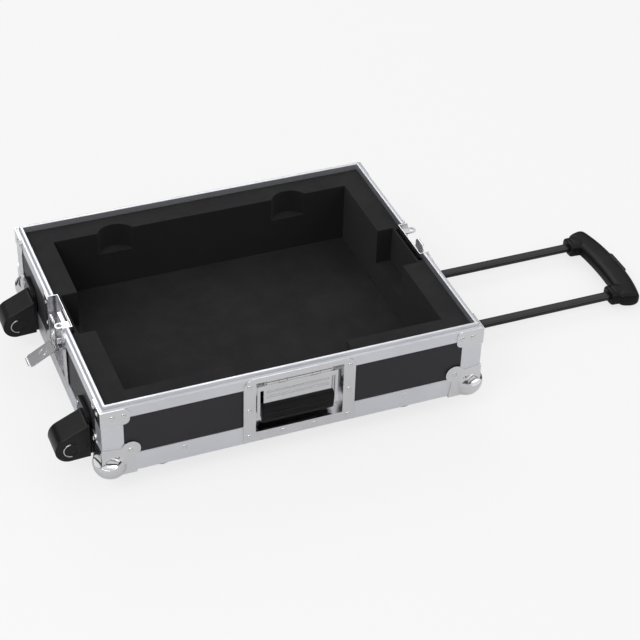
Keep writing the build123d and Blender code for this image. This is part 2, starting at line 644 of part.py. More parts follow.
def make_trolley():
    """Trolley handle: sleeves and guides under the floor, sliding tubes, grip, button and locks."""
    sleeves, tubes, guides = [], [], []
    for sy in (-1, 1):
        y = sy * TUBE_Y
        outer = oval_tube(SLEEVE_W / 2, SLEEVE_T / 2, SLEEVE_IN, SLEEVE_OUT, y, TUBE_Z)
        bore = oval_tube(SLEEVE_W / 2 - SLEEVE_WALL, SLEEVE_T / 2 - SLEEVE_WALL, SLEEVE_IN - 1,
                         SLEEVE_OUT + 1, y, TUBE_Z)
        sleeves.append(outer - bore)
        tube = oval_tube(TUBE_W / 2, TUBE_T / 2, TUBE_IN, TUBE_OUT + 6, y, TUBE_Z)
        tube -= oval_tube(TUBE_W / 2 - TUBE_WALL, TUBE_T / 2 - TUBE_WALL, TUBE_IN - 1,
                          TUBE_OUT + 7, y, TUBE_Z)
        tubes.append(tube)
        for x0, x1 in ((SLEEVE_OUT - 30, SLEEVE_OUT + 5), (SLEEVE_IN - 4, SLEEVE_IN + 24)):
            guide = block(x0, x1, y - 17, y + 17, 3, BASE)
            guide = fillet(guide.edges().filter_by(Axis.X).sort_by(Axis.Z)[:2], 5)
            cut = oval_tube(SLEEVE_W / 2, SLEEVE_T / 2, x0 - 1, min(x1 + 1, SLEEVE_OUT), y, TUBE_Z)
            if x1 > SLEEVE_OUT:
                cut += oval_tube(TUBE_W / 2 + 0.35, TUBE_T / 2 + 0.35, x0, x1 + 1, y, TUBE_Z)
            guides.append(guide - cut)
    save("trolley_sleeves", group(sleeves))
    save("trolley_tubes", group(tubes))
    save("trolley_guides", group(guides))
    make_trolley_grip()


def make_trolley_grip():
    """Moulded bow-shaped grip with two collars, a release button and its two push rods."""
    collar_x = TUBE_OUT
    bow = GRIP_REACH - 12
    outer_edge = ThreePointArc((bow - 4, -GRIP_HALF - 2), (GRIP_REACH, 0), (bow - 4, GRIP_HALF + 2))
    inner_edge = ThreePointArc((GRIP_INNER - 6, GRIP_HALF - 36), (GRIP_INNER, 0), (GRIP_INNER - 6, -GRIP_HALF + 36))
    outline = Polyline((bow - 4, GRIP_HALF + 2), (bow - 16, GRIP_HALF + 4), (collar_x + 12, TUBE_Y + COLLAR_HALF),
                       (collar_x + 12, GRIP_HALF - 36), (GRIP_INNER - 6, GRIP_HALF - 36))
    other = Polyline((GRIP_INNER - 6, -GRIP_HALF + 36), (collar_x + 12, -GRIP_HALF + 36),
                     (collar_x + 12, -TUBE_Y - COLLAR_HALF), (bow - 16, -GRIP_HALF - 4), (bow - 4, -GRIP_HALF - 2))
    face = make_face([outer_edge, outline, inner_edge, other])
    body = extrude(Plane.XY.offset(TUBE_Z - COLLAR_T / 2 + 1) * face, COLLAR_T - 2)
    top = body.edges().group_by(Axis.Z)
    body = fillet(ShapeList(list(top[-1]) + list(top[0])), 5)
    for sy in (-1, 1):
        y = sy * TUBE_Y
        plane = Plane(origin=(collar_x, y, TUBE_Z), x_dir=(0, 1, 0), z_dir=(1, 0, 0))
        body += rounded(2 * COLLAR_HALF, COLLAR_T, 7, plane, 22)
        body -= oval_tube(TUBE_W / 2, TUBE_T / 2, collar_x - 1, TUBE_OUT + 6, y, TUBE_Z)
    rod_z = TUBE_Z
    pocket = block(GRIP_REACH - 18, GRIP_REACH + 5, -BUTTON_L / 2 - 0.4, BUTTON_L / 2 + 0.4,
                   rod_z - 6.4, rod_z + 6.4)
    slot = block(GRIP_REACH - 26, GRIP_REACH - 16.5, -TUBE_Y - 3, TUBE_Y + 3, rod_z - 2.4, rod_z + 2.4)
    body -= pocket + slot
    for sy in (-1, 1):
        body -= block(TUBE_OUT, GRIP_REACH - 17.9, sy * TUBE_Y - 2, sy * TUBE_Y + 2, rod_z - 2, rod_z + 2)
    save("trolley_grip", body)
    cap = block(GRIP_REACH - 13, GRIP_REACH + 1.6, -BUTTON_L / 2, BUTTON_L / 2, rod_z - 6, rod_z + 6)
    cap = fillet(cap.edges().filter_by(Axis.Z).sort_by(Axis.X)[-2:], 5)
    save("release_button", cap)
    yoke = block(GRIP_REACH - 18, GRIP_REACH - 13, -6, 6, rod_z - 2, rod_z + 2)
    yoke += block(GRIP_REACH - 21, GRIP_REACH - 17, -TUBE_Y - 1.5, TUBE_Y + 1.5, rod_z - 2, rod_z + 2)
    for sy in (-1, 1):
        yoke += rod("x", ((TUBE_IN + 20 + GRIP_REACH - 19) / 2, sy * TUBE_Y, rod_z), ROD_R,
                    GRIP_REACH - 19 - TUBE_IN - 20)
    save("release_rods", yoke)


def make_rivets():
    """Rivet heads on each side of the case."""
    proud = BALL_SHEET
    lobe = LOBE_AT
    sets = {"front_rivets": [], "back_rivets": [], "left_rivets": [], "right_rivets": []}
    for name, sy in (("front_rivets", -1), ("back_rivets", 1)):
        for sx in (-1, 1):
            for away in BRACKET_RIVETS:
                at = (sx * (HALF_W - away), sy * (HALF_D + BRACKET_T), BRACKET_RIVET_Z)
                sets[name].append(rivet((0, sy, 0), at))
            at = (sx * (HALF_W - lobe), sy * (HALF_D + proud), BASE + lobe)
            sets[name].append(rivet((0, sy, 0), at))
            sets[name].append(rivet((0, sy, 0), (sx * 160, sy * HALF_D, BASE + 20)))
    for name, sx in (("left_rivets", -1), ("right_rivets", 1)):
        for sy in (-1, 1):
            for away in BRACKET_RIVETS:
                at = (sx * (HALF_W + BRACKET_T), sy * (HALF_D - away), BRACKET_RIVET_Z)
                sets[name].append(rivet((sx, 0, 0), at))
            at = (sx * (HALF_W + proud), sy * (HALF_D - lobe), BASE + lobe)
            sets[name].append(rivet((sx, 0, 0), at))
    x0, z0 = HPLATE_W / 2 - 8.5, HPLATE_LOW + 9
    spots = [(sx * x0, z) for sx in (-1, 1) for z in (z0, (HPLATE_LOW + HPLATE_TOP) / 2, HPLATE_TOP - 13)]
    spots += [(sx * 22.5, HPLATE_LOW + 7) for sx in (-1, 1)]
    handle = [rivet((0, -1, 0), (HANDLE_X + x, -HALF_D - HPLATE_T, z)) for x, z in spots]
    for name, shapes in sets.items():
        save(name, group(shapes))
    save("handle_rivets", group(handle))
    latch = []
    for sx in (-1, 1):
        for sy in (-1, 1):
            for z in (LATCH_LOW + 10, LATCH_LOW + 46, SHELF - 10):
                y = sy * (LATCH_W / 2 - 8.5 - (6 if z < LATCH_LOW + 20 else 0))
                latch.append(rivet((sx, 0, 0), (sx * (HALF_W + LATCH_SHEET), y, z), 3.0, 0.9))
    save("latch_rivets", group(latch))


def main():
    """Build every piece."""
    os.makedirs("parts", exist_ok=True)
    make_panels()
    make_rims()
    make_angles()
    make_ball_corners()
    make_brackets()
    make_foam()
    make_feet()
    make_handle()
    make_latches()
    make_castors()
    make_trolley()
    make_rivets()


main()
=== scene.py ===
"""Looks of an open flight case base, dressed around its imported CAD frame.

The case body is panels in aluminium edging with pressed steel corners. Its hardware is a sprung
carry handle, two butterfly latches, two edge castors and a trolley handle under the floor.
"""

import json
import logging
import math
from dataclasses import dataclass, field
from enum import Enum

import bpy
import numpy as np
from mathutils import Matrix, Vector


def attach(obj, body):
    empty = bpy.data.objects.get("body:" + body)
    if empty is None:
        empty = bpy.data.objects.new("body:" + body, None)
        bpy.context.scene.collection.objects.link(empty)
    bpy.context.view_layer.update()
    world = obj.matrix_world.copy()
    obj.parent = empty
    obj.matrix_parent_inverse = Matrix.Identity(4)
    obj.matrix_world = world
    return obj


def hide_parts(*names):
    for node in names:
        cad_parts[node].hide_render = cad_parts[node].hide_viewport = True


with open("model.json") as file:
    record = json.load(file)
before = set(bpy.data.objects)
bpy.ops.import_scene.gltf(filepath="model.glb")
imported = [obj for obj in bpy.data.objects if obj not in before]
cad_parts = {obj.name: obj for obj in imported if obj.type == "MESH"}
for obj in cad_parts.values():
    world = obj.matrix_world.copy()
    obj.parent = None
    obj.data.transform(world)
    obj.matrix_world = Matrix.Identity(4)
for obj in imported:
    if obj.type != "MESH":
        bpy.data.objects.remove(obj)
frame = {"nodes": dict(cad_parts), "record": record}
LOG = logging.getLogger("case")
MM = 0.001

# The case body, in millimetres: half its width and depth, its underside and the shelf of its rim.
HALF_W, HALF_D, BASE, SHELF = 273.0, 223.0, 36.0, 146.0

# Sockets of a Mix node that mixes colours.
MIX_FACTOR, MIX_FIRST, MIX_SECOND, MIX_RESULT = 0, 6, 7, 2

RUB_RADIUS = 1.2
DUST_TINT = (0.55, 0.54, 0.52)
DUST_MATTING = 0.35
WELD_GAP = 0.004
CREASE = 32.0
UPWARD = np.array((0.0, 0.0, 1.0))


class Slot(Enum):
    """Material slots of the record."""

    LAMINATE = "laminate"
    EXTRUSION = "extrusion"
    PLATED = "plated_steel"
    PIN = "pin_steel"
    FOAM = "foam"
    RUBBER = "rubber"
    HANDLE = "handle_plastic"
    CASTOR = "castor_plastic"
    TYRE = "tyre"
    TUBE = "dark_tube"


class Axis(Enum):
    """Directions that a turned piece can stand along."""

    PLUS_X = (1.0, 0.0, 0.0)
    MINUS_X = (-1.0, 0.0, 0.0)
    PLUS_Y = (0.0, 1.0, 0.0)
    MINUS_Y = (0.0, -1.0, 0.0)
    PLUS_Z = (0.0, 0.0, 1.0)

    def frame(self, at: tuple[float, float, float]) -> np.ndarray:
        """Placing matrix whose local Z runs along the direction.

        Args:
            at: Origin of the placed piece, in millimetres.

        Returns:
            A 4 by 4 matrix.
        """
        z = np.array(self.value)
        x = np.cross((0.0, 0.0, 1.0), z) if abs(z[2]) < 0.9 else np.array((1.0, 0.0, 0.0))
        made = np.eye(4)
        made[:3, 0], made[:3, 1], made[:3, 2], made[:3, 3] = x, np.cross(z, x), z, at
        return made


# Shader building


@dataclass
class Sheet:
    """A node tree with short ways to add and join its nodes."""

    tree: bpy.types.NodeTree

    def add(self, kind: str, **values: object) -> bpy.types.Node:
        """Adds a node.

        Args:
            kind: Type name of the node.
            values: Attributes of the node to set.

        Returns:
            The new node.
        """
        node = self.tree.nodes.new(kind)
        for name, value in values.items():
            setattr(node, name, value)
        return node

    def link(self, source: bpy.types.NodeSocket, target: bpy.types.NodeSocket) -> None:
        """Joins an output to an input."""
        self.tree.links.new(source, target)

    def math(self, work: str, a: object, b: object) -> bpy.types.NodeSocket:
        """Adds a Math node.

        Args:
            work: Operation name.
            a: First operand, a socket or a number.
            b: Second operand, a socket or a number.

        Returns:
            The node's output.
        """
        node = self.add("ShaderNodeMath", operation=work)
        for socket, value in zip(node.inputs, (a, b)):
            if isinstance(value, (int, float)):
                socket.default_value = value
            else:
                self.link(value, socket)
        return node.outputs[0]

    def noise(self, vector: bpy.types.NodeSocket, scale: float, detail: float = 3.0,
              rough: float = 0.55) -> bpy.types.NodeSocket:
        """Adds a noise texture.

        Args:
            vector: Where the texture is read.
            scale: Frequency of its largest waves.
            detail: Number of finer layers.
            rough: Strength of the finer layers.

        Returns:
            The node's value output.
        """
        node = self.add("ShaderNodeTexNoise")
        node.inputs["Scale"].default_value = scale
        node.inputs["Detail"].default_value = detail
        node.inputs["Roughness"].default_value = rough
        self.link(vector, node.inputs["Vector"])
        return node.outputs["Fac"]

    def span(self, value: bpy.types.NodeSocket, low: float, high: float, to_low: float,
             to_high: float) -> bpy.types.NodeSocket:
        """Maps a value from one range to another, held inside it.

        Args:
            value: The value to map.
            low: Start of the range that it comes from.
            high: End of the range that it comes from.
            to_low: What the start becomes.
            to_high: What the end becomes.

        Returns:
            The node's output.
        """
        node = self.add("ShaderNodeMapRange", clamp=True)
        for name, number in zip(("From Min", "From Max", "To Min", "To Max"), (low, high, to_low, to_high)):
            node.inputs[name].default_value = number
        self.link(value, node.inputs["Value"])
        return node.outputs["Result"]

    def mix(self, factor: object, a: object, b: object) -> bpy.types.NodeSocket:
        """Mixes two colours.

        Args:
            factor: Share of the second colour, a socket or a number.
            a: First colour, a socket or an RGB triple.
            b: Second colour, a socket or an RGB triple.

        Returns:
            The mixed colour.
        """
        node = self.add("ShaderNodeMix", data_type="RGBA")
        for index, value in ((MIX_FACTOR, factor), (MIX_FIRST, a), (MIX_SECOND, b)):
            if isinstance(value, bpy.types.NodeSocket):
                self.link(value, node.inputs[index])
            elif isinstance(value, (int, float)):
                node.inputs[index].default_value = value
            else:
                node.inputs[index].default_value = (*value, 1.0)
        return node.outputs[MIX_RESULT]


def cleared(owner: bpy.types.ID) -> Sheet:
    """The emptied node tree of a material or a world."""
    owner.use_nodes = True
    owner.node_tree.nodes.clear()
    return Sheet(owner.node_tree)


def grouped(name: str, output: str, *inputs: str) -> tuple[Sheet, bpy.types.Node, bpy.types.Node]:
    """Starts a node group.

    Args:
        name: Name of the group.
        output: Name of its output, a number.
        inputs: Names of its inputs. Stretch is a vector and the others are numbers.

    Returns:
        The sheet of its tree, its input node and its output node.
    """
    tree = bpy.data.node_groups.new(name, "ShaderNodeTree")
    for label in inputs:
        kind = "NodeSocketVector" if label == "Stretch" else "NodeSocketFloat"
        tree.interface.new_socket(label, in_out="INPUT", socket_type=kind)
    tree.interface.new_socket(output, in_out="OUTPUT", socket_type="NodeSocketFloat")
    s = Sheet(tree)
    return s, s.add("NodeGroupInput"), s.add("NodeGroupOutput")


def wear_group() -> bpy.types.NodeTree:
    """Node group that finds rubbed edges: the rounded normal turns away from the face's own there.

    Returns:
        The group, with a Factor output and Radius and Amount inputs.
    """
    s, given, out = grouped("rubbed_edges", "Factor", "Radius", "Amount")
    bevel = s.add("ShaderNodeBevel", samples=4)
    s.link(given.outputs["Radius"], bevel.inputs["Radius"])
    geometry = s.add("ShaderNodeNewGeometry")
    dot = s.add("ShaderNodeVectorMath", operation="DOT_PRODUCT")
    s.link(bevel.outputs[0], dot.inputs[0])
    s.link(geometry.outputs["Normal"], dot.inputs[1])
    edge = s.span(dot.outputs["Value"], 0.995, 0.86, 0.0, 1.0)
    where = s.add("ShaderNodeTexCoord")
    patch = s.span(s.noise(where.outputs["Object"], 55.0, 4.0), 0.42, 0.62, 0.0, 1.0)
    both = s.math("MULTIPLY", s.math("MULTIPLY", edge, patch), given.outputs["Amount"])
    s.link(both, out.inputs["Factor"])
    return s.tree


def dust_group() -> bpy.types.NodeTree:
    """Node group for dust that lies on upward faces in patches.

    Returns:
        The group, with an Amount input and a Factor output.
    """
    s, given, out = grouped("settled_dust", "Factor", "Amount")
    geometry = s.add("ShaderNodeNewGeometry")
    apart = s.add("ShaderNodeSeparateXYZ")
    s.link(geometry.outputs["Normal"], apart.inputs[0])
    up = s.span(apart.outputs["Z"], 0.2, 0.9, 0.15, 1.0)
    where = s.add("ShaderNodeTexCoord")
    cloud = s.span(s.noise(where.outputs["Object"], 14.0, 6.0, 0.7), 0.38, 0.72, 0.0, 1.0)
    s.link(s.math("MULTIPLY", s.math("MULTIPLY", up, cloud), given.outputs["Amount"]), out.inputs["Factor"])
    return s.tree


def grain_group() -> bpy.types.NodeTree:
    """Node group for a stretched grain with fine scratches in it.

    Returns:
        The group, with Stretch and Cuts inputs and a Height output.
    """
    s, given, out = grouped("drawn_grain", "Height", "Stretch", "Cuts")
    where = s.add("ShaderNodeTexCoord")
    scaled = s.add("ShaderNodeVectorMath", operation="MULTIPLY")
    s.link(where.outputs["Object"], scaled.inputs[0])
    s.link(given.outputs["Stretch"], scaled.inputs[1])
    fine = s.noise(scaled.outputs[0], 1.0, 5.0, 0.6)
    cuts = s.add("ShaderNodeTexVoronoi", feature="DISTANCE_TO_EDGE")
    cuts.inputs["Scale"].default_value = 0.05
    s.link(scaled.outputs[0], cuts.inputs["Vector"])
    cut = s.math("MULTIPLY", s.span(cuts.outputs["Distance"], 0.0, 0.02, 1.0, 0.0), given.outputs["Cuts"])
    s.link(s.math("SUBTRACT", fine, cut), out.inputs["Height"])
    return s.tree


@dataclass(frozen=True)
class Finish:
    """One finish: its base colour, gloss, grain, wear and dust.

    Args:
        colour: Base colour, linear RGB.
        shade: Second colour that the mottling mixes in.
        metallic: Metal share.
        gloss: Lowest and highest roughness.
        stretch: Grain frequency along X, Y and Z, per metre.
        depth: Bump distance of the grain, in millimetres.
        worn: Colour where edges are rubbed.
        wear: Amount of rubbed edge.
        dust: Amount of settled dust.
        sheen: Cloth sheen weight.
        cuts: Strength of fine scratches in the grain.
        shine: Specular level.
    """

    colour: tuple[float, float, float]
    shade: tuple[float, float, float]
    metallic: float
    gloss: tuple[float, float]
    stretch: tuple[float, float, float]
    depth: float
    worn: tuple[float, float, float] = (0.5, 0.5, 0.5)
    wear: float = 0.0
    dust: float = 0.05
    sheen: float = 0.0
    cuts: float = 0.0
    shine: float = 0.5

    def material(self, name: str, groups: dict[str, bpy.types.NodeTree]) -> bpy.types.Material:
        """Builds the material.

        Args:
            name: Material name.
            groups: The shared node groups.

        Returns:
            The new material.
        """
        made = bpy.data.materials.new(name)
        s = cleared(made)
        out = s.add("ShaderNodeOutputMaterial")
        body = s.add("ShaderNodeBsdfPrincipled")
        s.link(body.outputs[0], out.inputs["Surface"])
        body.inputs["Metallic"].default_value = self.metallic
        body.inputs["Sheen Weight"].default_value = self.sheen
        body.inputs["Specular IOR Level"].default_value = self.shine
        where = s.add("ShaderNodeTexCoord")
        grain = s.add("ShaderNodeGroup", node_tree=groups["grain"])
        grain.inputs["Stretch"].default_value = self.stretch
        grain.inputs["Cuts"].default_value = self.cuts
        broad = s.noise(where.outputs["Object"], 9.0, 5.0, 0.6)
        mottle = s.math("ADD", s.span(broad, 0.3, 0.7, 0.0, 0.6),
                        s.span(grain.outputs[0], 0.3, 0.75, 0.0, 0.4))
        colour = s.mix(mottle, self.colour, self.shade)
        if self.wear:
            rub = s.add("ShaderNodeGroup", node_tree=groups["wear"])
            rub.inputs["Radius"].default_value = RUB_RADIUS * MM
            rub.inputs["Amount"].default_value = self.wear
            colour = s.mix(rub.outputs[0], colour, self.worn)
        dust = s.add("ShaderNodeGroup", node_tree=groups["dust"])
        dust.inputs["Amount"].default_value = self.dust
        colour = s.mix(dust.outputs[0], colour, DUST_TINT)
        s.link(colour, body.inputs["Base Color"])
        rough = s.math("ADD", s.span(grain.outputs[0], 0.3, 0.75, *self.gloss),
                       s.span(broad, 0.35, 0.7, -0.03, 0.05))
        matted = s.math("ADD", rough, s.math("MULTIPLY", dust.outputs[0], DUST_MATTING))
        s.link(matted, body.inputs["Roughness"])
        bump = s.add("ShaderNodeBump")
        bump.inputs["Distance"].default_value = self.depth * MM
        s.link(grain.outputs[0], bump.inputs["Height"])
        s.link(bump.outputs[0], body.inputs["Normal"])
        return made


FINISHES: dict[Slot, Finish] = {
    Slot.LAMINATE: Finish((0.018, 0.0165, 0.0215), (0.024, 0.022, 0.028), 0.0, (0.42, 0.52),
                          (1400, 1400, 1400), 0.05, (0.16, 0.13, 0.10), 0.5, 0.02, shine=0.3),
    Slot.EXTRUSION: Finish((0.78, 0.79, 0.83), (0.68, 0.69, 0.73), 0.85, (0.34, 0.46),
                           (60, 60, 2600), 0.02, (0.90, 0.90, 0.92), 0.7, 0.05, cuts=0.12),
    Slot.PLATED: Finish((0.76, 0.76, 0.78), (0.70, 0.70, 0.72), 1.0, (0.13, 0.21),
                        (240, 240, 240), 0.010, (0.90, 0.90, 0.91), 0.6, 0.03),
    Slot.PIN: Finish((0.60, 0.61, 0.63), (0.48, 0.48, 0.50), 1.0, (0.22, 0.34),
                     (260, 1500, 1500), 0.02, (0.85, 0.85, 0.86), 0.4, 0.03),
    Slot.FOAM: Finish((0.0080, 0.0078, 0.0090), (0.0125, 0.0122, 0.0140), 0.0, (0.80, 0.92),
                      (1900, 1900, 1900), 0.35, (0.05, 0.05, 0.05), 0.3, 0.02, sheen=0.06, shine=0.22),
    Slot.RUBBER: Finish((0.016, 0.016, 0.016), (0.026, 0.026, 0.026), 0.0, (0.60, 0.76),
                        (1100, 1100, 1100), 0.12, (0.09, 0.09, 0.09), 0.5, 0.05, shine=0.35),
    Slot.HANDLE: Finish((0.0040, 0.0040, 0.0045), (0.007, 0.007, 0.0078), 0.0, (0.34, 0.46),
                        (2600, 2600, 2600), 0.05, (0.05, 0.05, 0.05), 0.3, 0.015, shine=0.16),
    Slot.CASTOR: Finish((0.0045, 0.0045, 0.0050), (0.008, 0.008, 0.0085), 0.0, (0.28, 0.38),
                        (1500, 1500, 1500), 0.03, (0.06, 0.06, 0.06), 0.4, 0.015, shine=0.28),
    Slot.TYRE: Finish((0.010, 0.010, 0.010), (0.020, 0.020, 0.019), 0.0, (0.52, 0.68),
                      (900, 900, 900), 0.12, (0.09, 0.09, 0.08), 0.4, 0.06, shine=0.35),
    Slot.TUBE: Finish((0.010, 0.010, 0.011), (0.016, 0.016, 0.018), 0.2, (0.20, 0.30),
                      (60, 1800, 1800), 0.02, (0.25, 0.25, 0.26), 0.6, 0.02, cuts=0.1),
}


@dataclass
class Paint:
    """Every material of the scene, made once."""

    made: dict[Slot, bpy.types.Material] = field(default_factory=dict)

    def mix_all(self) -> None:
        """Builds the materials."""
        groups = {"wear": wear_group(), "dust": dust_group(), "grain": grain_group()}
        for slot, finish in FINISHES.items():
            self.made[slot] = finish.material(f"case_{slot.value}", groups)

    def give(self, piece: bpy.types.Object, slot: Slot) -> None:
        """Puts a material on a piece in place of what it has."""
        piece.data.materials.clear()
        piece.data.materials.append(self.made[slot])


# Mesh building


@dataclass
class Skin:
    """Vertices in millimetres with their faces."""

    points: np.ndarray
    faces: list[tuple[int, ...]]

    def placed(self, matrix: np.ndarray) -> "Skin":
        """The same skin moved by a 4 by 4 matrix."""
        return Skin(self.points @ matrix[:3, :3].T + matrix[:3, 3], self.faces)

    def piece(self, name: str, smooth: bool = True) -> bpy.types.Object:
        """Makes the Blender object.

        Args:
            name: Object name.
            smooth: True to shade across the faces.

        Returns:
            The new object, linked to the scene.
        """
        mesh = bpy.data.meshes.new(name)
        mesh.from_pydata((self.points * MM).tolist(), [], self.faces)
        mesh.polygons.foreach_set("use_smooth", np.full(len(mesh.polygons), smooth))
        mesh.update()
        made = bpy.data.objects.new(name, mesh)
        bpy.context.scene.collection.objects.link(made)
        return made


def joined(skins: list[Skin]) -> Skin:
    """Several skins as one.

    Args:
        skins: The skins to join.

    Returns:
        One skin that holds them all.
    """
    faces, start = [], 0
    for skin in skins:
        faces += [tuple(i + start for i in face) for face in skin.faces]
        start += len(skin.points)
    return Skin(np.concatenate([skin.points for skin in skins]), faces)


def net(rows: int, columns: int) -> list[tuple[int, ...]]:
    """Quads over a grid of vertices whose columns close on themselves.

    Args:
        rows: Number of rings.
        columns: Vertices in each ring.

    Returns:
        The quads: a vertex, its neighbour in the ring, then the same two of the next ring, backwards.
    """
    i, j = (axis.ravel() for axis in np.mgrid[:rows - 1, :columns])
    k = (j + 1) % columns
    quads = [i * columns + j, i * columns + k, (i + 1) * columns + k, (i + 1) * columns + j]
    return [tuple(quad) for quad in np.stack(quads, axis=1).tolist()]


def tube(rows: int, columns: int) -> list[tuple[int, ...]]:
    """The net of a tube, with a cap on each end."""
    last = (rows - 1) * columns
    return net(rows, columns) + [tuple(reversed(range(columns))), tuple(range(last, last + columns))]


def path(x: object, y: object, z: object) -> np.ndarray:
    """Points of a line from three coordinates, each an array or one number for the whole line."""
    return np.stack(np.broadcast_arrays(x, y, z), axis=1)


def turned(profile: list[tuple[float, float]], segments: int = 40) -> Skin:
    """Skin of a turned piece: each point of the profile goes round a circle of its own radius.

    Args:
        profile: Radius and height pairs, from the lower cap to the upper one.
        segments: Points round the axis.

    Returns:
        The skin, standing along local Z.
    """
    radii, heights = np.array(profile).T
    angle = np.linspace(0, 2 * np.pi, segments, endpoint=False)
    points = np.stack([np.outer(radii, np.cos(angle)), np.outer(radii, np.sin(angle)),
                       np.repeat(heights[:, None], segments, axis=1)], axis=-1).reshape(-1, 3)
    return Skin(points, tube(len(profile), segments))


def swept(line: np.ndarray, half: np.ndarray, across: np.ndarray, power: float = 2.0,
          segments: int = 20) -> Skin:
    """Skin of a bar with a superellipse section, swept along a line.

    Round the section, the width goes with the cosine of the angle and the height with its sine, each
    raised to 2 over the power and with its sign kept.

    Args:
        line: Points of the centreline.
        half: Half width and half height of the section at each point.
        across: Direction that the section's height follows.
        power: 2 for an ellipse, more for a squarer section.
        segments: Points round the section.

    Returns:
        The skin, capped at both ends.
    """
    along = np.gradient(line, axis=0)
    along /= np.linalg.norm(along, axis=1)[:, None]
    side = np.cross(along, across)
    side /= np.linalg.norm(side, axis=1)[:, None]
    up = np.cross(side, along)
    angle = np.linspace(0, 2 * np.pi, segments, endpoint=False)
    c, s = np.cos(angle), np.sin(angle)
    u = np.sign(c) * np.abs(c) ** (2 / power)
    v = np.sign(s) * np.abs(s) ** (2 / power)
    points = (line[:, None] + side[:, None] * (u[None, :, None] * half[:, None, :1])
              + up[:, None] * (v[None, :, None] * half[:, None, 1:])).reshape(-1, 3)
    return Skin(points, tube(len(line), segments))


def even_out(piece: bpy.types.Object) -> None:
    """Evens a piece's shading by the size and angle of its faces."""
    even = piece.modifiers.new("even_shading", "WEIGHTED_NORMAL")
    even.mode, even.weight = "FACE_AREA_WITH_ANGLE", 60


def soften(piece: bpy.types.Object, width: float, segments: int = 2) -> None:
    """Rounds a piece's sharp edges and evens its shading, with its vertices and faces left as they are.

    Args:
        piece: The piece to soften.
        width: Width of the rounding, in millimetres.
        segments: Faces across each rounding.
    """
    mesh = piece.data
    if "custom_normal" in mesh.attributes:
        mesh.attributes.remove(mesh.attributes["custom_normal"])
    mesh.polygons.foreach_set("use_smooth", np.ones(len(mesh.polygons), bool))
    weld = piece.modifiers.new("weld", "WELD")
    weld.merge_threshold = WELD_GAP * MM
    bevel = piece.modifiers.new("rounded_edges", "BEVEL")
    bevel.width, bevel.segments = width * MM, segments
    bevel.limit_method, bevel.angle_limit = "ANGLE", math.radians(CREASE)
    bevel.miter_outer = "MITER_ARC"
    even_out(piece)


@dataclass
class Workshop:
    """Puts finished pieces on their bodies."""

    paint: Paint

    def fit(self, piece: bpy.types.Object, body: str, slot: Slot,
            stands_for: tuple[str, ...] = ()) -> None:
        """Dresses a piece and lets it ride on a body.

        Args:
            piece: The new piece.
            body: CAD body that it moves with.
            slot: Finish of the piece.
            stands_for: CAD nodes that it replaces.
        """
        self.paint.give(piece, slot)
        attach(piece, body)
        if stands_for:
            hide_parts(*stands_for)
        LOG.info("%s rides on %s", piece.name, body)


# Sub-assemblies


@dataclass
class Shell:
    """Panels, edging, corners and other CAD pieces, which keep their shape.

    Args:
        shop: Where the finishes come from.
        widths: Width of the rounding on the edges of each finish.
    """

    shop: Workshop
    widths: dict[Slot, float] = field(default_factory=lambda: {
        Slot.LAMINATE: 0.3, Slot.EXTRUSION: 0.35, Slot.PLATED: 0.3, Slot.PIN: 0.2,
        Slot.RUBBER: 1.0, Slot.HANDLE: 0.8, Slot.CASTOR: 1.0, Slot.TUBE: 0.3, Slot.TYRE: 0.8,
        Slot.FOAM: 0.5,
    })

    def dress(self) -> None:
        """Gives every CAD node its finish and softened edges."""
        for row in frame["record"]["subparts"]:
            piece, slot = frame["nodes"][row["node"]], Slot(row["material_slot"])
            self.shop.paint.give(piece, slot)
            soften(piece, self.widths[slot])


Spot = tuple[Axis, tuple[float, float, float]]


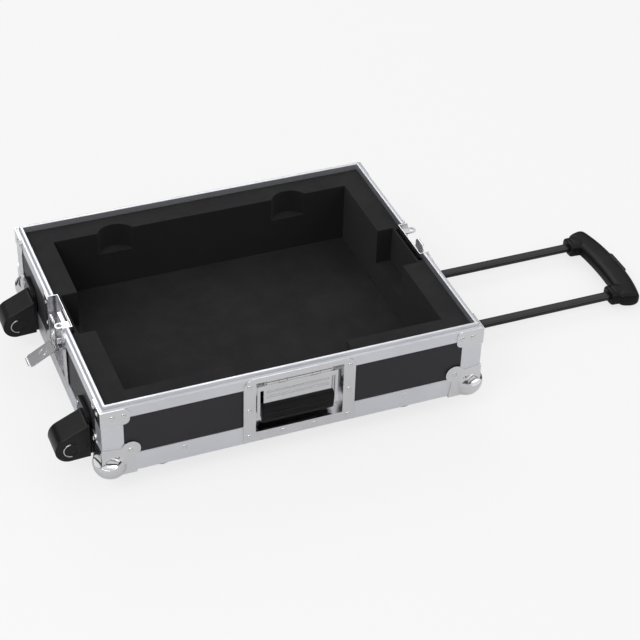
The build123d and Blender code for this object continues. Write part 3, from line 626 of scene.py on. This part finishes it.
@dataclass
class Rivets:
    """Domed rivet heads, in place of the CAD's low cones.

    Args:
        shop: Where the pieces are fitted.
        large: Radius and height of the case's rivets.
        small: Radius and height of the latches' rivets.
        bracket: Distances of a top bracket's rivets from the corner.
        bracket_at: Their depth below the shelf, and the bracket's thickness.
        lobe: Distance of a ball corner's rivet from the corner and from the underside.
        lobe_sheet: Thickness of the lobe.
        edging: Place of a rivet in the bottom angle: from the middle, and above the underside.
        handle: Middle of the carry handle along X, and its front face along Y.
        handle_side: Distance of the side rivets from the middle.
        handle_heights: Heights of the side rivets.
        handle_low: Distance of the lower rivets from the middle, and their height.
        latch_face: Outer face of the latch dish, from the middle of the case.
        latch: Distance from the middle of the latch, and height, of each pair.
    """

    shop: Workshop
    large: tuple[float, float] = (3.6, 1.5)
    small: tuple[float, float] = (3.0, 1.05)
    bracket: tuple[float, float] = (15.5, 31.0)
    bracket_at: tuple[float, float] = (12.0, 1.2)
    lobe: float = 38.5
    lobe_sheet: float = 1.6
    edging: tuple[float, float] = (160.0, 20.0)
    handle: tuple[float, float] = (3.0, -224.4)
    handle_side: float = 72.0
    handle_heights: tuple[float, ...] = (48.0, 92.75, 133.5)
    handle_low: tuple[float, float] = (22.5, 46.0)
    latch_face: float = 274.2
    latch: tuple[tuple[float, float], ...] = ((41.5, 64.0), (47.5, 100.0), (47.5, 136.0))

    def head(self, radius: float, height: float) -> Skin:
        """Head of one rivet: a thin skirt, a quarter ellipse and a small flat from the setting tool.

        Args:
            radius: Outer radius, in millimetres.
            height: Height above the face.

        Returns:
            The skin, standing along local Z.
        """
        angle = np.linspace(0.12, 1.0, 8) * np.pi / 2
        dome = [(radius * math.cos(a) * 0.97, height * math.sin(a)) for a in angle[:-1]]
        return turned([(radius, -0.3), (radius, 0.1), *dome, (radius * 0.16, height * 0.99)], 28)

    def wall(self, way: Axis) -> list[Spot]:
        """Rivets of one wall's brackets and lobes, and of the long walls' bottom angle.

        Args:
            way: Direction that the wall faces.

        Returns:
            Directions and places.
        """
        out = np.array(way.value)
        along = np.abs(out[[1, 0, 2]])
        half, far = (HALF_W, HALF_D) if along[0] else (HALF_D, HALF_W)
        low, sheet = self.bracket_at

        def spot(across: float, beyond: float, z: float) -> Spot:
            """One rivet, at its place along the wall, beyond its face and above the ground."""
            return way, tuple(along * across + out * (far + beyond) + UPWARD * z)

        found = []
        for end in (-1, 1):
            found += [spot(end * (half - a), sheet, SHELF - low) for a in self.bracket]
            found.append(spot(end * (half - self.lobe), self.lobe_sheet, BASE + self.lobe))
            if along[0]:
                found.append(spot(end * self.edging[0], 0, BASE + self.edging[1]))
        return found

    def spots(self) -> dict[str, tuple[tuple[float, float], list[Spot]]]:
        """Where each set of rivets sits.

        Returns:
            For each CAD node, the head's radius and height and the list of directions and places.
        """
        walls = {"front": Axis.MINUS_Y, "back": Axis.PLUS_Y, "left": Axis.MINUS_X, "right": Axis.PLUS_X}
        found = {f"{name}_rivets": (self.large, self.wall(way)) for name, way in walls.items()}
        middle, face = self.handle
        beside, low = self.handle_low
        handle = [(middle + sx * self.handle_side, face, z) for sx in (-1, 1) for z in self.handle_heights]
        handle += [(middle + sx * beside, face, low) for sx in (-1, 1)]
        found["handle_rivets"] = (self.large, [(Axis.MINUS_Y, at) for at in handle])
        latch = [(walls["right"] if sx > 0 else walls["left"], (sx * self.latch_face, sy * y, z))
                 for sx in (-1, 1) for sy in (-1, 1) for y, z in self.latch]
        found["latch_rivets"] = (self.small, latch)
        return found

    def build(self) -> None:
        """Makes one piece for each CAD node of rivets."""
        for node, (size, spots) in self.spots().items():
            head = self.head(*size)
            piece = joined([head.placed(way.frame(at)) for way, at in spots]).piece(f"domed_{node}")
            self.shop.fit(piece, "case", Slot.PLATED, (node,))


@dataclass
class BallCorners:
    """Smooth stamped balls with a hollow towards each wall, over the flanges of the bottom corners.

    Args:
        shop: Where the pieces are fitted.
        inset: Depth of a ball's centre behind each of the corner's three faces.
        radius: Radius of a ball.
        hollow: Direction from the centre to the front hollow of the right front ball.
        hollow_size: Half width and half height of a hollow, as shares of the radius.
        hollow_depth: Depth of a hollow.
        hollow_edge: Power of the hollow's fall from its rim; a lower one has a crisper rim.
        grid: Rings and points per ring.
        tilt: First and last angle of the rings from the corner's diagonal.
    """

    shop: Workshop
    inset: float = 13.0
    radius: float = 23.4
    hollow: tuple[float, float, float] = (0.28, -0.83, 0.49)
    hollow_size: tuple[float, float] = (0.52, 0.33)
    hollow_depth: float = 5.4
    hollow_edge: float = 0.6
    grid: tuple[int, int] = (110, 200)
    tilt: tuple[float, float] = (0.004, 1.95)

    def ball(self) -> Skin:
        """Outer part of one ball at the right front corner, with its hollows pressed in.

        Each direction from the centre reaches to the radius. In a hollow it reaches less, by the depth
        times a power of one minus the squared distance from the hollow's middle.

        Returns:
            The skin in place.
        """
        centre = np.array((HALF_W - self.inset, -HALF_D + self.inset, BASE + self.inset))
        rings, segments = self.grid
        tilt = np.linspace(*self.tilt, rings)[:, None]
        turn = np.linspace(0, 2 * np.pi, segments, endpoint=False)[None, :]
        pole = np.array((1, -1, -1)) / math.sqrt(3)
        a = np.cross(pole, (0, 0, 1))
        a /= np.linalg.norm(a)
        b = np.cross(pole, a)
        ways = (np.cos(tilt)[..., None] * np.ones((1, segments, 1)) * pole
                + (np.sin(tilt) * np.cos(turn))[..., None] * a
                + (np.sin(tilt) * np.sin(turn))[..., None] * b)
        reach = np.full(ways.shape[:2], self.radius)
        out, front, up = self.hollow
        for aim in ((out, front, up), (-front, -out, up)):
            toward = np.array(aim) / np.linalg.norm(aim)
            level = np.cross((0, 0, 1), toward)
            level /= np.linalg.norm(level)
            spread = (ways @ level / self.hollow_size[0]) ** 2
            spread += (ways @ np.cross(toward, level) / self.hollow_size[1]) ** 2
            bowl = self.hollow_depth * np.clip(1 - spread, 0, 1) ** self.hollow_edge
            reach = np.minimum(reach, self.radius - np.where(ways @ toward > 0, bowl, 0))
        points = (centre + ways * reach[..., None]).reshape(-1, 3)
        return Skin(points, net(rings, segments) + [tuple(reversed(range(segments)))])

    def build(self) -> None:
        """Makes the four balls as one piece."""
        ball, found = self.ball(), []
        for sx in (1, -1):
            for sy in (1, -1):
                flip = np.diag((sx, sy, 1.0, 1.0))
                skin = ball.placed(flip)
                if sx * sy < 0:
                    skin.faces = [tuple(reversed(face)) for face in skin.faces]
                found.append(skin)
        self.shop.fit(joined(found).piece("stamped_balls"), "case", Slot.PLATED)


@dataclass
class Lining:
    """Cut foam round the case's cavity and on the floor.

    Args:
        shop: Where the pieces are fitted.
        rounding: Width of the eased edges.
        ripple: Height of the waves in the top face.
        rippled: Height above which the foam is rippled.
        waves: Lengths of the two waves: X and Y of the long one, Y and X of the short one.
        fill: Share of the solid that is foam. Not used.
    """

    shop: Workshop
    rounding: float = 1.6
    ripple: float = 0.22
    rippled: float = 140.0
    waves: tuple[float, float, float, float] = (31.0, 47.0, 13.0, 21.0)
    fill: float = 0.9

    def build(self) -> None:
        """Makes both soft pieces on the CAD solids' outlines, with eased edges and a slight ripple."""
        for node, name in (("foam_lining", "cut_foam_lining"), ("floor_pad", "cut_foam_floor")):
            piece = self.blank(node, name)
            self.shop.fit(piece, "case", Slot.FOAM, (node,))

    def blank(self, node: str, name: str) -> bpy.types.Object:
        """A copy of a foam solid, rounded on its edges, its top lowered by the sum of two sine waves.

        Args:
            node: CAD node to follow.
            name: Name of the new piece.

        Returns:
            The piece, with its modifiers applied.
        """
        source = frame["nodes"][node]
        points = np.array([v.co for v in source.data.vertices]) / MM
        faces = [tuple(f.vertices) for f in source.data.polygons]
        rough = Skin(points, faces).piece(name)
        weld = rough.modifiers.new("weld", "WELD")
        weld.merge_threshold = 0.01 * MM
        flat = rough.modifiers.new("flat_faces", "DECIMATE")
        flat.decimate_type, flat.angle_limit = "DISSOLVE", math.radians(2)
        bevel = rough.modifiers.new("cut_edges", "BEVEL")
        bevel.width, bevel.segments = self.rounding * MM, 4
        bevel.limit_method, bevel.angle_limit = "ANGLE", math.radians(40)
        three = rough.modifiers.new("triangles", "TRIANGULATE")
        three.min_vertices = 5
        ready = rough.evaluated_get(bpy.context.evaluated_depsgraph_get())
        shaped = bpy.data.meshes.new_from_object(ready)
        old, rough.data = rough.data, shaped
        bpy.data.meshes.remove(old)
        rough.modifiers.clear()
        flat_points = np.empty(len(shaped.vertices) * 3, np.float32)
        shaped.vertices.foreach_get("co", flat_points)
        at = flat_points.reshape(-1, 3).astype(float) / MM
        (x, y), (long_x, long_y, short_y, short_x) = at[:, :2].T, self.waves
        wave = np.sin(x / long_x + y / long_y) + 0.6 * np.sin(y / short_y - x / short_x)
        at[:, 2] -= self.ripple * (0.8 + 0.5 * wave) * (at[:, 2] > self.rippled)
        shaped.vertices.foreach_set("co", (at * MM).astype(np.float32).ravel())
        shaped.polygons.foreach_set("use_smooth", np.ones(len(shaped.polygons), bool))
        even_out(rough)
        return rough


@dataclass
class CarryHandle:
    """Recessed handle: grip with two long ridges, and wound springs.

    Args:
        shop: Where the pieces are fitted.
        centre: Middle of the handle along X.
        pin: Y and Z of the hinge pin.
        grip_at: Y and Z of the grip's middle line.
        grip_half: Half thickness and half height of the grip.
        face: Y of the ridges' middle lines.
        ridges: Heights of the ridges above the grip's middle line.
        ridge: Half height of a ridge.
        spring_at: Distance of each spring from the middle.
        turns: Turns of a spring.
        pitch: Distance from one turn to the next.
        coil: Radius of a spring's middle line.
        wire: Radius of its wire.
    """

    shop: Workshop
    centre: float = 3.0
    pin: tuple[float, float] = (-218.4, 132.0)
    grip_at: tuple[float, float] = (-215.2, 77.0)
    grip_half: tuple[float, float] = (5.7, 15.9)
    face: float = -220.8
    ridges: tuple[float, float] = (-8.0, 2.0)
    ridge: float = 1.1
    spring_at: float = 55.0
    turns: int = 5
    pitch: float = 1.85
    coil: float = 4.0
    wire: float = 0.65

    def grip(self) -> Skin:
        """Moulded grip with two ridges along its face: a superellipse section that shrinks at its ends.

        Returns:
            The skin in place.
        """
        x = np.concatenate([[-52, -51.8, -51.2, -50], np.linspace(-48.5, 48.5, 195), [50, 51.2, 51.8, 52]])
        ends = np.interp(np.abs(x), [48.5, 50, 51.2, 51.8, 52], [1, 0.985, 0.94, 0.87, 0.80])
        y, z = self.grip_at
        line = path(x + self.centre, y, z)
        found = [swept(line, np.outer(ends, self.grip_half), UPWARD, 3.4, 40)]
        x = np.linspace(-46, 46, 90)
        high = self.ridge * np.interp(np.abs(x), [40, 46], [1, 0.3])
        for up in self.ridges:
            track = path(x + self.centre, self.face, z + up)
            found.append(swept(track, np.stack([high, high * 1.3], axis=1), UPWARD, 2.0, 16))
        return joined(found)

    def spring(self, side: int) -> Skin:
        """One spring wound on the pin: a round wire along a helix.

        Args:
            side: -1 for the left spring, 1 for the right one.

        Returns:
            The skin in place.
        """
        t = np.linspace(0, self.turns, self.turns * 40 + 1)
        start = self.centre + side * self.spring_at - self.turns * self.pitch / 2
        angle = t * 2 * np.pi
        y, z = self.pin[0] + self.coil * np.sin(angle), self.pin[1] - self.coil * np.cos(angle)
        line = path(start + t * self.pitch, y, z)
        return swept(line, np.full((len(line), 2), self.wire), np.array((1.0, 0.0, 0.02)), 2.0, 14)

    def build(self) -> None:
        """Makes the grip and both springs."""
        self.shop.fit(self.grip().piece("ridged_grip"), "carry_handle", Slot.HANDLE, ("handle_grip",))
        springs = joined([self.spring(-1), self.spring(1)]).piece("wound_springs")
        self.shop.fit(springs, "case", Slot.PIN, ("handle_springs",))


@dataclass
class EdgeCastor:
    """Castor on the left wall: tyre with grooves, cheeks with raised ridges in bright steel as a painted
    highlight, hood and plate screws.

    Args:
        shop: Where the pieces are fitted.
        name: Which castor it is.
        side: -1 for the front one, 1 for the back one.
        axle: X and Z of the axle.
        plate: Distance of the plate's middle from the case's.
        shift: How far the wheel's middle is from the plate's, along Y.
        back: X of the cheeks' edge on the plate.
        top: Height of the slope where it meets the plate.
        cover: Radius of the cheeks over the wheel.
        heel: Their radius below the axle.
        cheeks: Inner and outer face of a cheek, from the wheel's middle.
        eased: Rounding of the cheeks' edges.
        hood_half: Half width and half thickness of the hood.
        highlight_ridge_radius: Radius of the middle line of a raised cheek ridge, painted bright as a
            highlight.
        highlight_ridge_half: Half width and height of that ridge.
        highlight_ridge_turn: First and last angle of that ridge, in degrees.
        screw_face: X of the plate's face.
        screws: Place of each screw, from the plate's middle along Y, and its height.
    """

    shop: Workshop
    name: str
    side: int
    axle: tuple[float, float] = (-304.0, 56.0)
    plate: float = 143.5
    shift: float = -15.0
    back: float = -277.5
    top: float = 92.0
    cover: float = 21.6
    heel: float = 19.0
    cheeks: tuple[float, float] = (17.0, 20.6)
    eased: float = 1.3
    hood_half: tuple[float, float] = (17.6, 0.5)
    highlight_ridge_radius: float = 10.2
    highlight_ridge_half: tuple[float, float] = (0.9, 1.0)
    highlight_ridge_turn: tuple[float, float] = (85.0, 280.0)
    screw_face: float = -278.0
    screws: tuple[tuple[float, float], ...] = ((21.5, 88.0), (-21.5, 88.0), (21.5, 46.0))

    @property
    def across(self) -> float:
        """Middle of the wheel along Y."""
        return self.side * self.plate + self.shift

    def tyre(self) -> Skin:
        """Tyre turned round the axle, with rounded shoulders and two shallow grooves.

        Returns:
            The skin in place.
        """
        half = [(20.0, 4.0), (19.3, 4.5), (19.3, 5.1), (20.0, 5.6), (20.0, 12.6), (19.2, 14.4),
                (17.6, 15.0), (16.05, 14.9)]
        wide = [(radius, -y) for radius, y in reversed(half)] + half
        return turned(wide, 72).placed(Axis.PLUS_Y.frame((self.axle[0], self.across, self.axle[1])))

    def clip(self, face: int) -> Skin:
        """Raised ridge on a cheek, in bright steel as a painted highlight: a part of a circle round the
        axle, thinner at both ends.

        Args:
            face: Cheek to put it on, -1 or 1 along Y.

        Returns:
            The skin in place.
        """
        count = 60
        angle = np.radians(np.linspace(*self.highlight_ridge_turn, count))
        line = path(self.axle[0] + self.highlight_ridge_radius * np.cos(angle), self.across + face * self.cheeks[1],
                    self.axle[1] + self.highlight_ridge_radius * np.sin(angle))
        steps = np.arange(count)
        ease = np.minimum(1, np.minimum(steps, steps[::-1]) / 4 + 0.25)
        return swept(line, np.outer(ease, self.highlight_ridge_half), np.array((0.0, 1.0, 0.0)), 2.4, 14)

    def outline(self, radius: float, stop: float) -> np.ndarray:
        """Straight slope from the plate, tangent to an arc that closes in below the axle.

        Args:
            radius: Radius of the arc.
            stop: Angle where the arc ends, in degrees.

        Returns:
            Points in X and Z, counter-clockwise seen from -Y.
        """
        ax, az = self.axle
        start = np.array((self.back, self.top - (self.cover - radius)))
        reach = math.hypot(start[0] - ax, start[1] - az)
        first = math.atan2(start[1] - az, start[0] - ax) + math.acos(radius / reach)
        angle = np.linspace(first, math.radians(stop), 60)
        below = np.clip(angle / (np.pi / 2) - 2.1, 0, 0.9) / 0.9
        far = radius + (self.heel - self.cover) * below
        arc = np.stack([ax + far * np.cos(angle), az + far * np.sin(angle)], axis=1)
        return np.concatenate([np.linspace(start, arc[0], 8, endpoint=False), arc])

    def cheek(self, face: int) -> Skin:
        """One flat cheek: its outline pushed through its thickness along Y.

        Args:
            face: Side of the wheel, -1 or 1 along Y.

        Returns:
            The skin in place.
        """
        rim = np.concatenate([self.outline(self.cover, 270), [(self.back, BASE + 2)]])
        edges = sorted(self.across + face * y for y in self.cheeks)
        faces = [tuple(reversed(one)) for one in tube(2, len(rim))]
        return Skin(np.concatenate([np.insert(rim, 1, y, axis=1) for y in edges]), faces)

    def hood(self) -> Skin:
        """Cover over the wheel between the cheeks: a flat strip swept along their outline.

        Returns:
            The skin in place.
        """
        rim = self.outline(self.cover - self.hood_half[1], 186)
        along = np.gradient(rim, axis=0)
        outward = path(along[:, 1], 0.0, -along[:, 0])
        outward /= np.linalg.norm(outward, axis=1, keepdims=True)
        line = np.insert(rim, 1, self.across, axis=1)
        return swept(line, np.tile(self.hood_half, (len(rim), 1)), outward, 9.0, 40)

    def screw(self, at: tuple[float, float, float]) -> Skin:
        """Screw in the plate: an elliptic dome, cut where either of two crossed lines is near.

        Args:
            at: Middle of the screw on the plate.

        Returns:
            The skin in place.
        """
        rings, segments = 12, 48
        r = np.linspace(0.05, 3.4, rings)[:, None] * np.ones(segments)
        angle = np.linspace(0, 2 * np.pi, segments, endpoint=False)[None, :] * np.ones((rings, 1))
        x, y = r * np.cos(angle), r * np.sin(angle)
        arm = np.minimum(np.abs(x), np.abs(y))
        cut = np.clip((0.62 - arm) / 0.25, 0, 1) * np.clip((2.3 - r) / 0.4, 0, 1)
        z = 1.5 * np.sqrt(np.clip(1 - (r / 3.7) ** 2, 0, 1)) - 0.9 * cut
        points = np.stack([x, y, z], axis=-1).reshape(-1, 3)
        rim = points[-segments:].copy()
        rim[:, 2] = -0.3
        faces = net(rings + 1, segments) + [tuple(reversed(range(segments)))]
        return Skin(np.concatenate([points, rim]), faces).placed(Axis.MINUS_X.frame(at))

    def build(self) -> None:
        """Makes the castor's pieces."""
        tyre = self.tyre().piece(f"{self.name}_grooved_tyre")
        self.shop.fit(tyre, f"{self.name}_wheel", Slot.TYRE, (f"{self.name}_castor_tyre",))
        # Painted highlight: the cheeks' raised ridges get bright steel in place of the castor plastic, so
        # they show as bright arcs.
        painted_highlights = joined([self.clip(-1), self.clip(1)]).piece(f"{self.name}_highlight_ridges")
        self.shop.fit(painted_highlights, "case", Slot.PIN)
        cheeks = joined([self.cheek(-1), self.cheek(1)]).piece(f"{self.name}_cheeks")
        soften(cheeks, self.eased, 3)
        self.shop.fit(cheeks, "case", Slot.CASTOR)
        self.shop.fit(self.hood().piece(f"{self.name}_hood"), "case", Slot.CASTOR)
        heads = [self.screw((self.screw_face, self.side * self.plate + y, z)) for y, z in self.screws]
        self.shop.fit(joined(heads).piece(f"{self.name}_plate_screws"), "case", Slot.PIN)


@dataclass
class Trolley:
    """Pull-out handle: bow-shaped moulded grip with a collar on each tube.

    Args:
        shop: Where the pieces are fitted.
        height: Height of the grip's middle.
        tube: Distance of each tube from the middle.
        start: X where the collars begin.
        outer: X of the bow's outer edge in the middle, and how far it falls back at the ends.
        inner: X of its inner edge in the middle, and how far that falls back.
        half_span: Half the bow's length along Y.
        half_height: Half the bow's height.
        screw_at: X of the screws, their distance from the middle and their height above it.
    """

    shop: Workshop
    height: float = 18.0
    tube: float = 67.5
    start: float = 570.0
    outer: tuple[float, float] = (624.0, 13.0)
    inner: tuple[float, float] = (586.5, 9.0)
    half_span: float = 90.5
    half_height: float = 11.6
    screw_at: tuple[float, float, float] = (589.0, 61.0, 11.3)

    def bow(self) -> Skin:
        """The bow: its edges fall back by a power of the distance from the middle, and its ends are eased.

        Returns:
            The skin in place.
        """
        t = np.linspace(-1, 1, 121)
        y = self.half_span * np.sign(t) * np.abs(t) ** 0.93
        outer = self.outer[0] - self.outer[1] * np.abs(t) ** 2.2
        inner = self.inner[0] - self.inner[1] * np.abs(t) ** 2
        ends = np.sqrt(np.clip(1 - np.clip((np.abs(t) - 0.90) / 0.10, 0, 1) ** 2.2, 0.02, 1))
        line = path((outer + inner) / 2, y, self.height)
        half = np.stack([(outer - inner) / 2 * (0.55 + 0.45 * ends),
                         self.half_height * (0.6 + 0.4 * ends)], axis=1)
        return swept(line, half, UPWARD, 2.9, 44)

    def collar(self, side: int) -> Skin:
        """Collar of one tube: a section that widens along X, with a groove, to where the bow takes over.

        Args:
            side: -1 or 1 along Y.

        Returns:
            The skin in place.
        """
        x = np.array([0, 0.3, 1.2, 3.0, 6.5, 7.2, 8.0, 12, 17, 23, 29, 34.0]) + self.start
        wide = np.array([13.6, 14.6, 15.4, 15.8, 15.9, 15.3, 15.9, 16.3, 16.9, 17.8, 18.8, 19.2])
        high = np.array([9.0, 10.1, 10.9, 11.3, 11.4, 10.8, 11.4, 11.5, 11.5, 11.5, 11.4, 11.0])
        line = path(x, side * self.tube, self.height)
        return swept(line, np.stack([wide, high], axis=1), UPWARD, 3.2, 44)

    def build(self) -> None:
        """Makes the grip and the screw heads in its top."""
        grip = joined([self.bow(), self.collar(-1), self.collar(1)]).piece("moulded_grip")
        self.shop.fit(grip, "trolley", Slot.HANDLE, ("trolley_grip",))
        x, beside, up = self.screw_at
        head = turned([(3.0, -0.4), (3.0, 0.1), (2.5, 0.4), (1.1, 0.45), (1.0, -0.15), (0.2, -0.2)], 28)
        heads = [head.placed(Axis.PLUS_Z.frame((x, sy * beside, self.height + up))) for sy in (-1, 1)]
        self.shop.fit(joined(heads).piece("grip_screws"), "trolley", Slot.HANDLE)


@dataclass(frozen=True)
class Lamp:
    """A square soft light that looks at the case.

    Args:
        name: Name of the lamp.
        at: Place in metres.
        size: Side in metres.
        power: Power in watts.
    """

    name: str
    at: tuple[float, float, float]
    size: float
    power: float


@dataclass
class Studio:
    """Floor, lights, background and camera.

    Args:
        place: Camera position in metres.
        angles: Azimuth, elevation and roll of the camera, in degrees.
        focal: Focal length, in pixels of the photograph.
        pixels: Side of the photograph.
        sensor: Width of the sensor, in millimetres.
        aim: Where the lamps look, in metres.
        reach: Half the floor's side, in millimetres.
        glow: Share of the floor that the camera sees as a plain white.
        sky_span: Height of a mirrored direction where the sky starts to brighten, and where it ends.
        sky_levels: Brightness of the mirrored sky below and above that.
        sky_light: Brightness that lights the case.
        lamps: The lights.
    """

    place: tuple[float, float, float] = (-0.7072, -1.9880, 1.6789)
    angles: tuple[float, float, float] = (-22.64, 37.32, 1.92)
    focal: float = 1834.0
    pixels: int = 640
    sensor: float = 36.0
    aim: tuple[float, float, float] = (0.05, 0.0, 0.08)
    reach: float = 9000.0
    glow: float = 0.75
    sky_span: tuple[float, float] = (0.38, 0.56)
    sky_levels: tuple[float, float] = (0.04, 0.92)
    sky_light: float = 0.5
    lamps: tuple[Lamp, ...] = (
        Lamp("key", (-1.9, -1.6, 2.6), 1.6, 36.0),
        Lamp("fill", (2.4, -1.8, 1.8), 2.0, 12.0),
        Lamp("back", (0.4, 2.6, 2.4), 1.6, 16.0),
    )

    def camera(self) -> None:
        """Sets the camera that was solved from the photograph."""
        a, e, r = (math.radians(v) for v in self.angles)
        back = Vector((math.sin(a) * math.cos(e), -math.cos(a) * math.cos(e), math.sin(e)))
        level = Vector((0, 0, 1)).cross(back).normalized()
        plumb = back.cross(level)
        right = math.cos(r) * level + math.sin(r) * plumb
        up = -math.sin(r) * level + math.cos(r) * plumb
        data = bpy.data.cameras.new("view")
        data.sensor_width = self.sensor
        data.lens = self.focal / self.pixels * self.sensor
        made = bpy.data.objects.new("view", data)
        bpy.context.scene.collection.objects.link(made)
        turn = Matrix((right, up, back)).transposed().to_4x4()
        made.matrix_world = Matrix.Translation(Vector(self.place)) @ turn
        bpy.context.scene.camera = made

    def light(self, lamp: Lamp) -> None:
        """Adds a lamp to the scene and turns it to the case.

        Args:
            lamp: The lamp to add.
        """
        data = bpy.data.lights.new(lamp.name, "AREA")
        data.shape, data.size, data.energy = "SQUARE", lamp.size, lamp.power
        made = bpy.data.objects.new(lamp.name, data)
        bpy.context.scene.collection.objects.link(made)
        made.location = lamp.at
        way = Vector(self.aim) - Vector(lamp.at)
        made.rotation_euler = way.to_track_quat("-Z", "Y").to_euler()

    def floor(self) -> None:
        """Pale matt floor that the camera sees as nearly white."""
        made = bpy.data.materials.new("pale_floor")
        s = cleared(made)
        out = s.add("ShaderNodeOutputMaterial")
        matt = s.add("ShaderNodeBsdfDiffuse")
        matt.inputs["Color"].default_value = (0.90, 0.90, 0.90, 1)
        glow = s.add("ShaderNodeEmission")
        glow.inputs["Color"].default_value = (1, 1, 1, 1)
        rays = s.add("ShaderNodeLightPath")
        seen = s.math("MULTIPLY", rays.outputs["Is Camera Ray"], self.glow)
        both = s.add("ShaderNodeMixShader")
        s.link(seen, both.inputs[0])
        s.link(matt.outputs[0], both.inputs[1])
        s.link(glow.outputs[0], both.inputs[2])
        s.link(both.outputs[0], out.inputs["Surface"])
        corners = np.array([(-1.0, -1, 0), (1, -1, 0), (1, 1, 0), (-1, 1, 0)]) * self.reach
        plane = Skin(corners, [(0, 1, 2, 3)]).piece("floor", False)
        plane.data.materials.append(made)

    def sky(self) -> None:
        """Even background: white where it is seen, softer where it lights the case, and in metal dark
        near the horizon and pale above it.
        """
        world = bpy.data.worlds.new("studio")
        bpy.context.scene.world = world
        s = cleared(world)
        out, ground = s.add("ShaderNodeOutputWorld"), s.add("ShaderNodeBackground")
        rays = s.add("ShaderNodeLightPath")
        ground.inputs["Color"].default_value = (1, 1, 1, 1)
        seen = s.math("MAXIMUM", rays.outputs["Is Camera Ray"], rays.outputs["Is Transmission Ray"])
        where = s.add("ShaderNodeTexCoord")
        apart = s.add("ShaderNodeSeparateXYZ")
        s.link(where.outputs["Generated"], apart.inputs[0])
        wall = s.span(apart.outputs["Z"], *self.sky_span, *self.sky_levels)
        extra = s.math("SUBTRACT", wall, self.sky_light)
        mirrored = s.math("MULTIPLY", rays.outputs["Is Glossy Ray"], extra)
        level = s.math("ADD", s.math("MULTIPLY", seen, 1 - self.sky_light), mirrored)
        s.link(s.math("ADD", level, self.sky_light), ground.inputs["Strength"])
        s.link(ground.outputs[0], out.inputs["Surface"])

    def build(self) -> None:
        """Sets up the whole studio."""
        bpy.context.scene.view_settings.view_transform = "Standard"
        self.floor()
        self.sky()
        for lamp in self.lamps:
            self.light(lamp)
        self.camera()


def main() -> None:
    """Dresses the case in order and sets up the studio."""
    logging.basicConfig(level=logging.INFO, format="%(name)s: %(message)s")
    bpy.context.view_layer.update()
    paint = Paint()
    paint.mix_all()
    shop = Workshop(paint)
    Shell(shop).dress()
    Rivets(shop).build()
    BallCorners(shop).build()
    Lining(shop).build()
    CarryHandle(shop).build()
    for name, side in (("front", -1), ("back", 1)):
        EdgeCastor(shop, name, side).build()
    Trolley(shop).build()
    Studio().build()


if __name__ == "__main__":
    main()
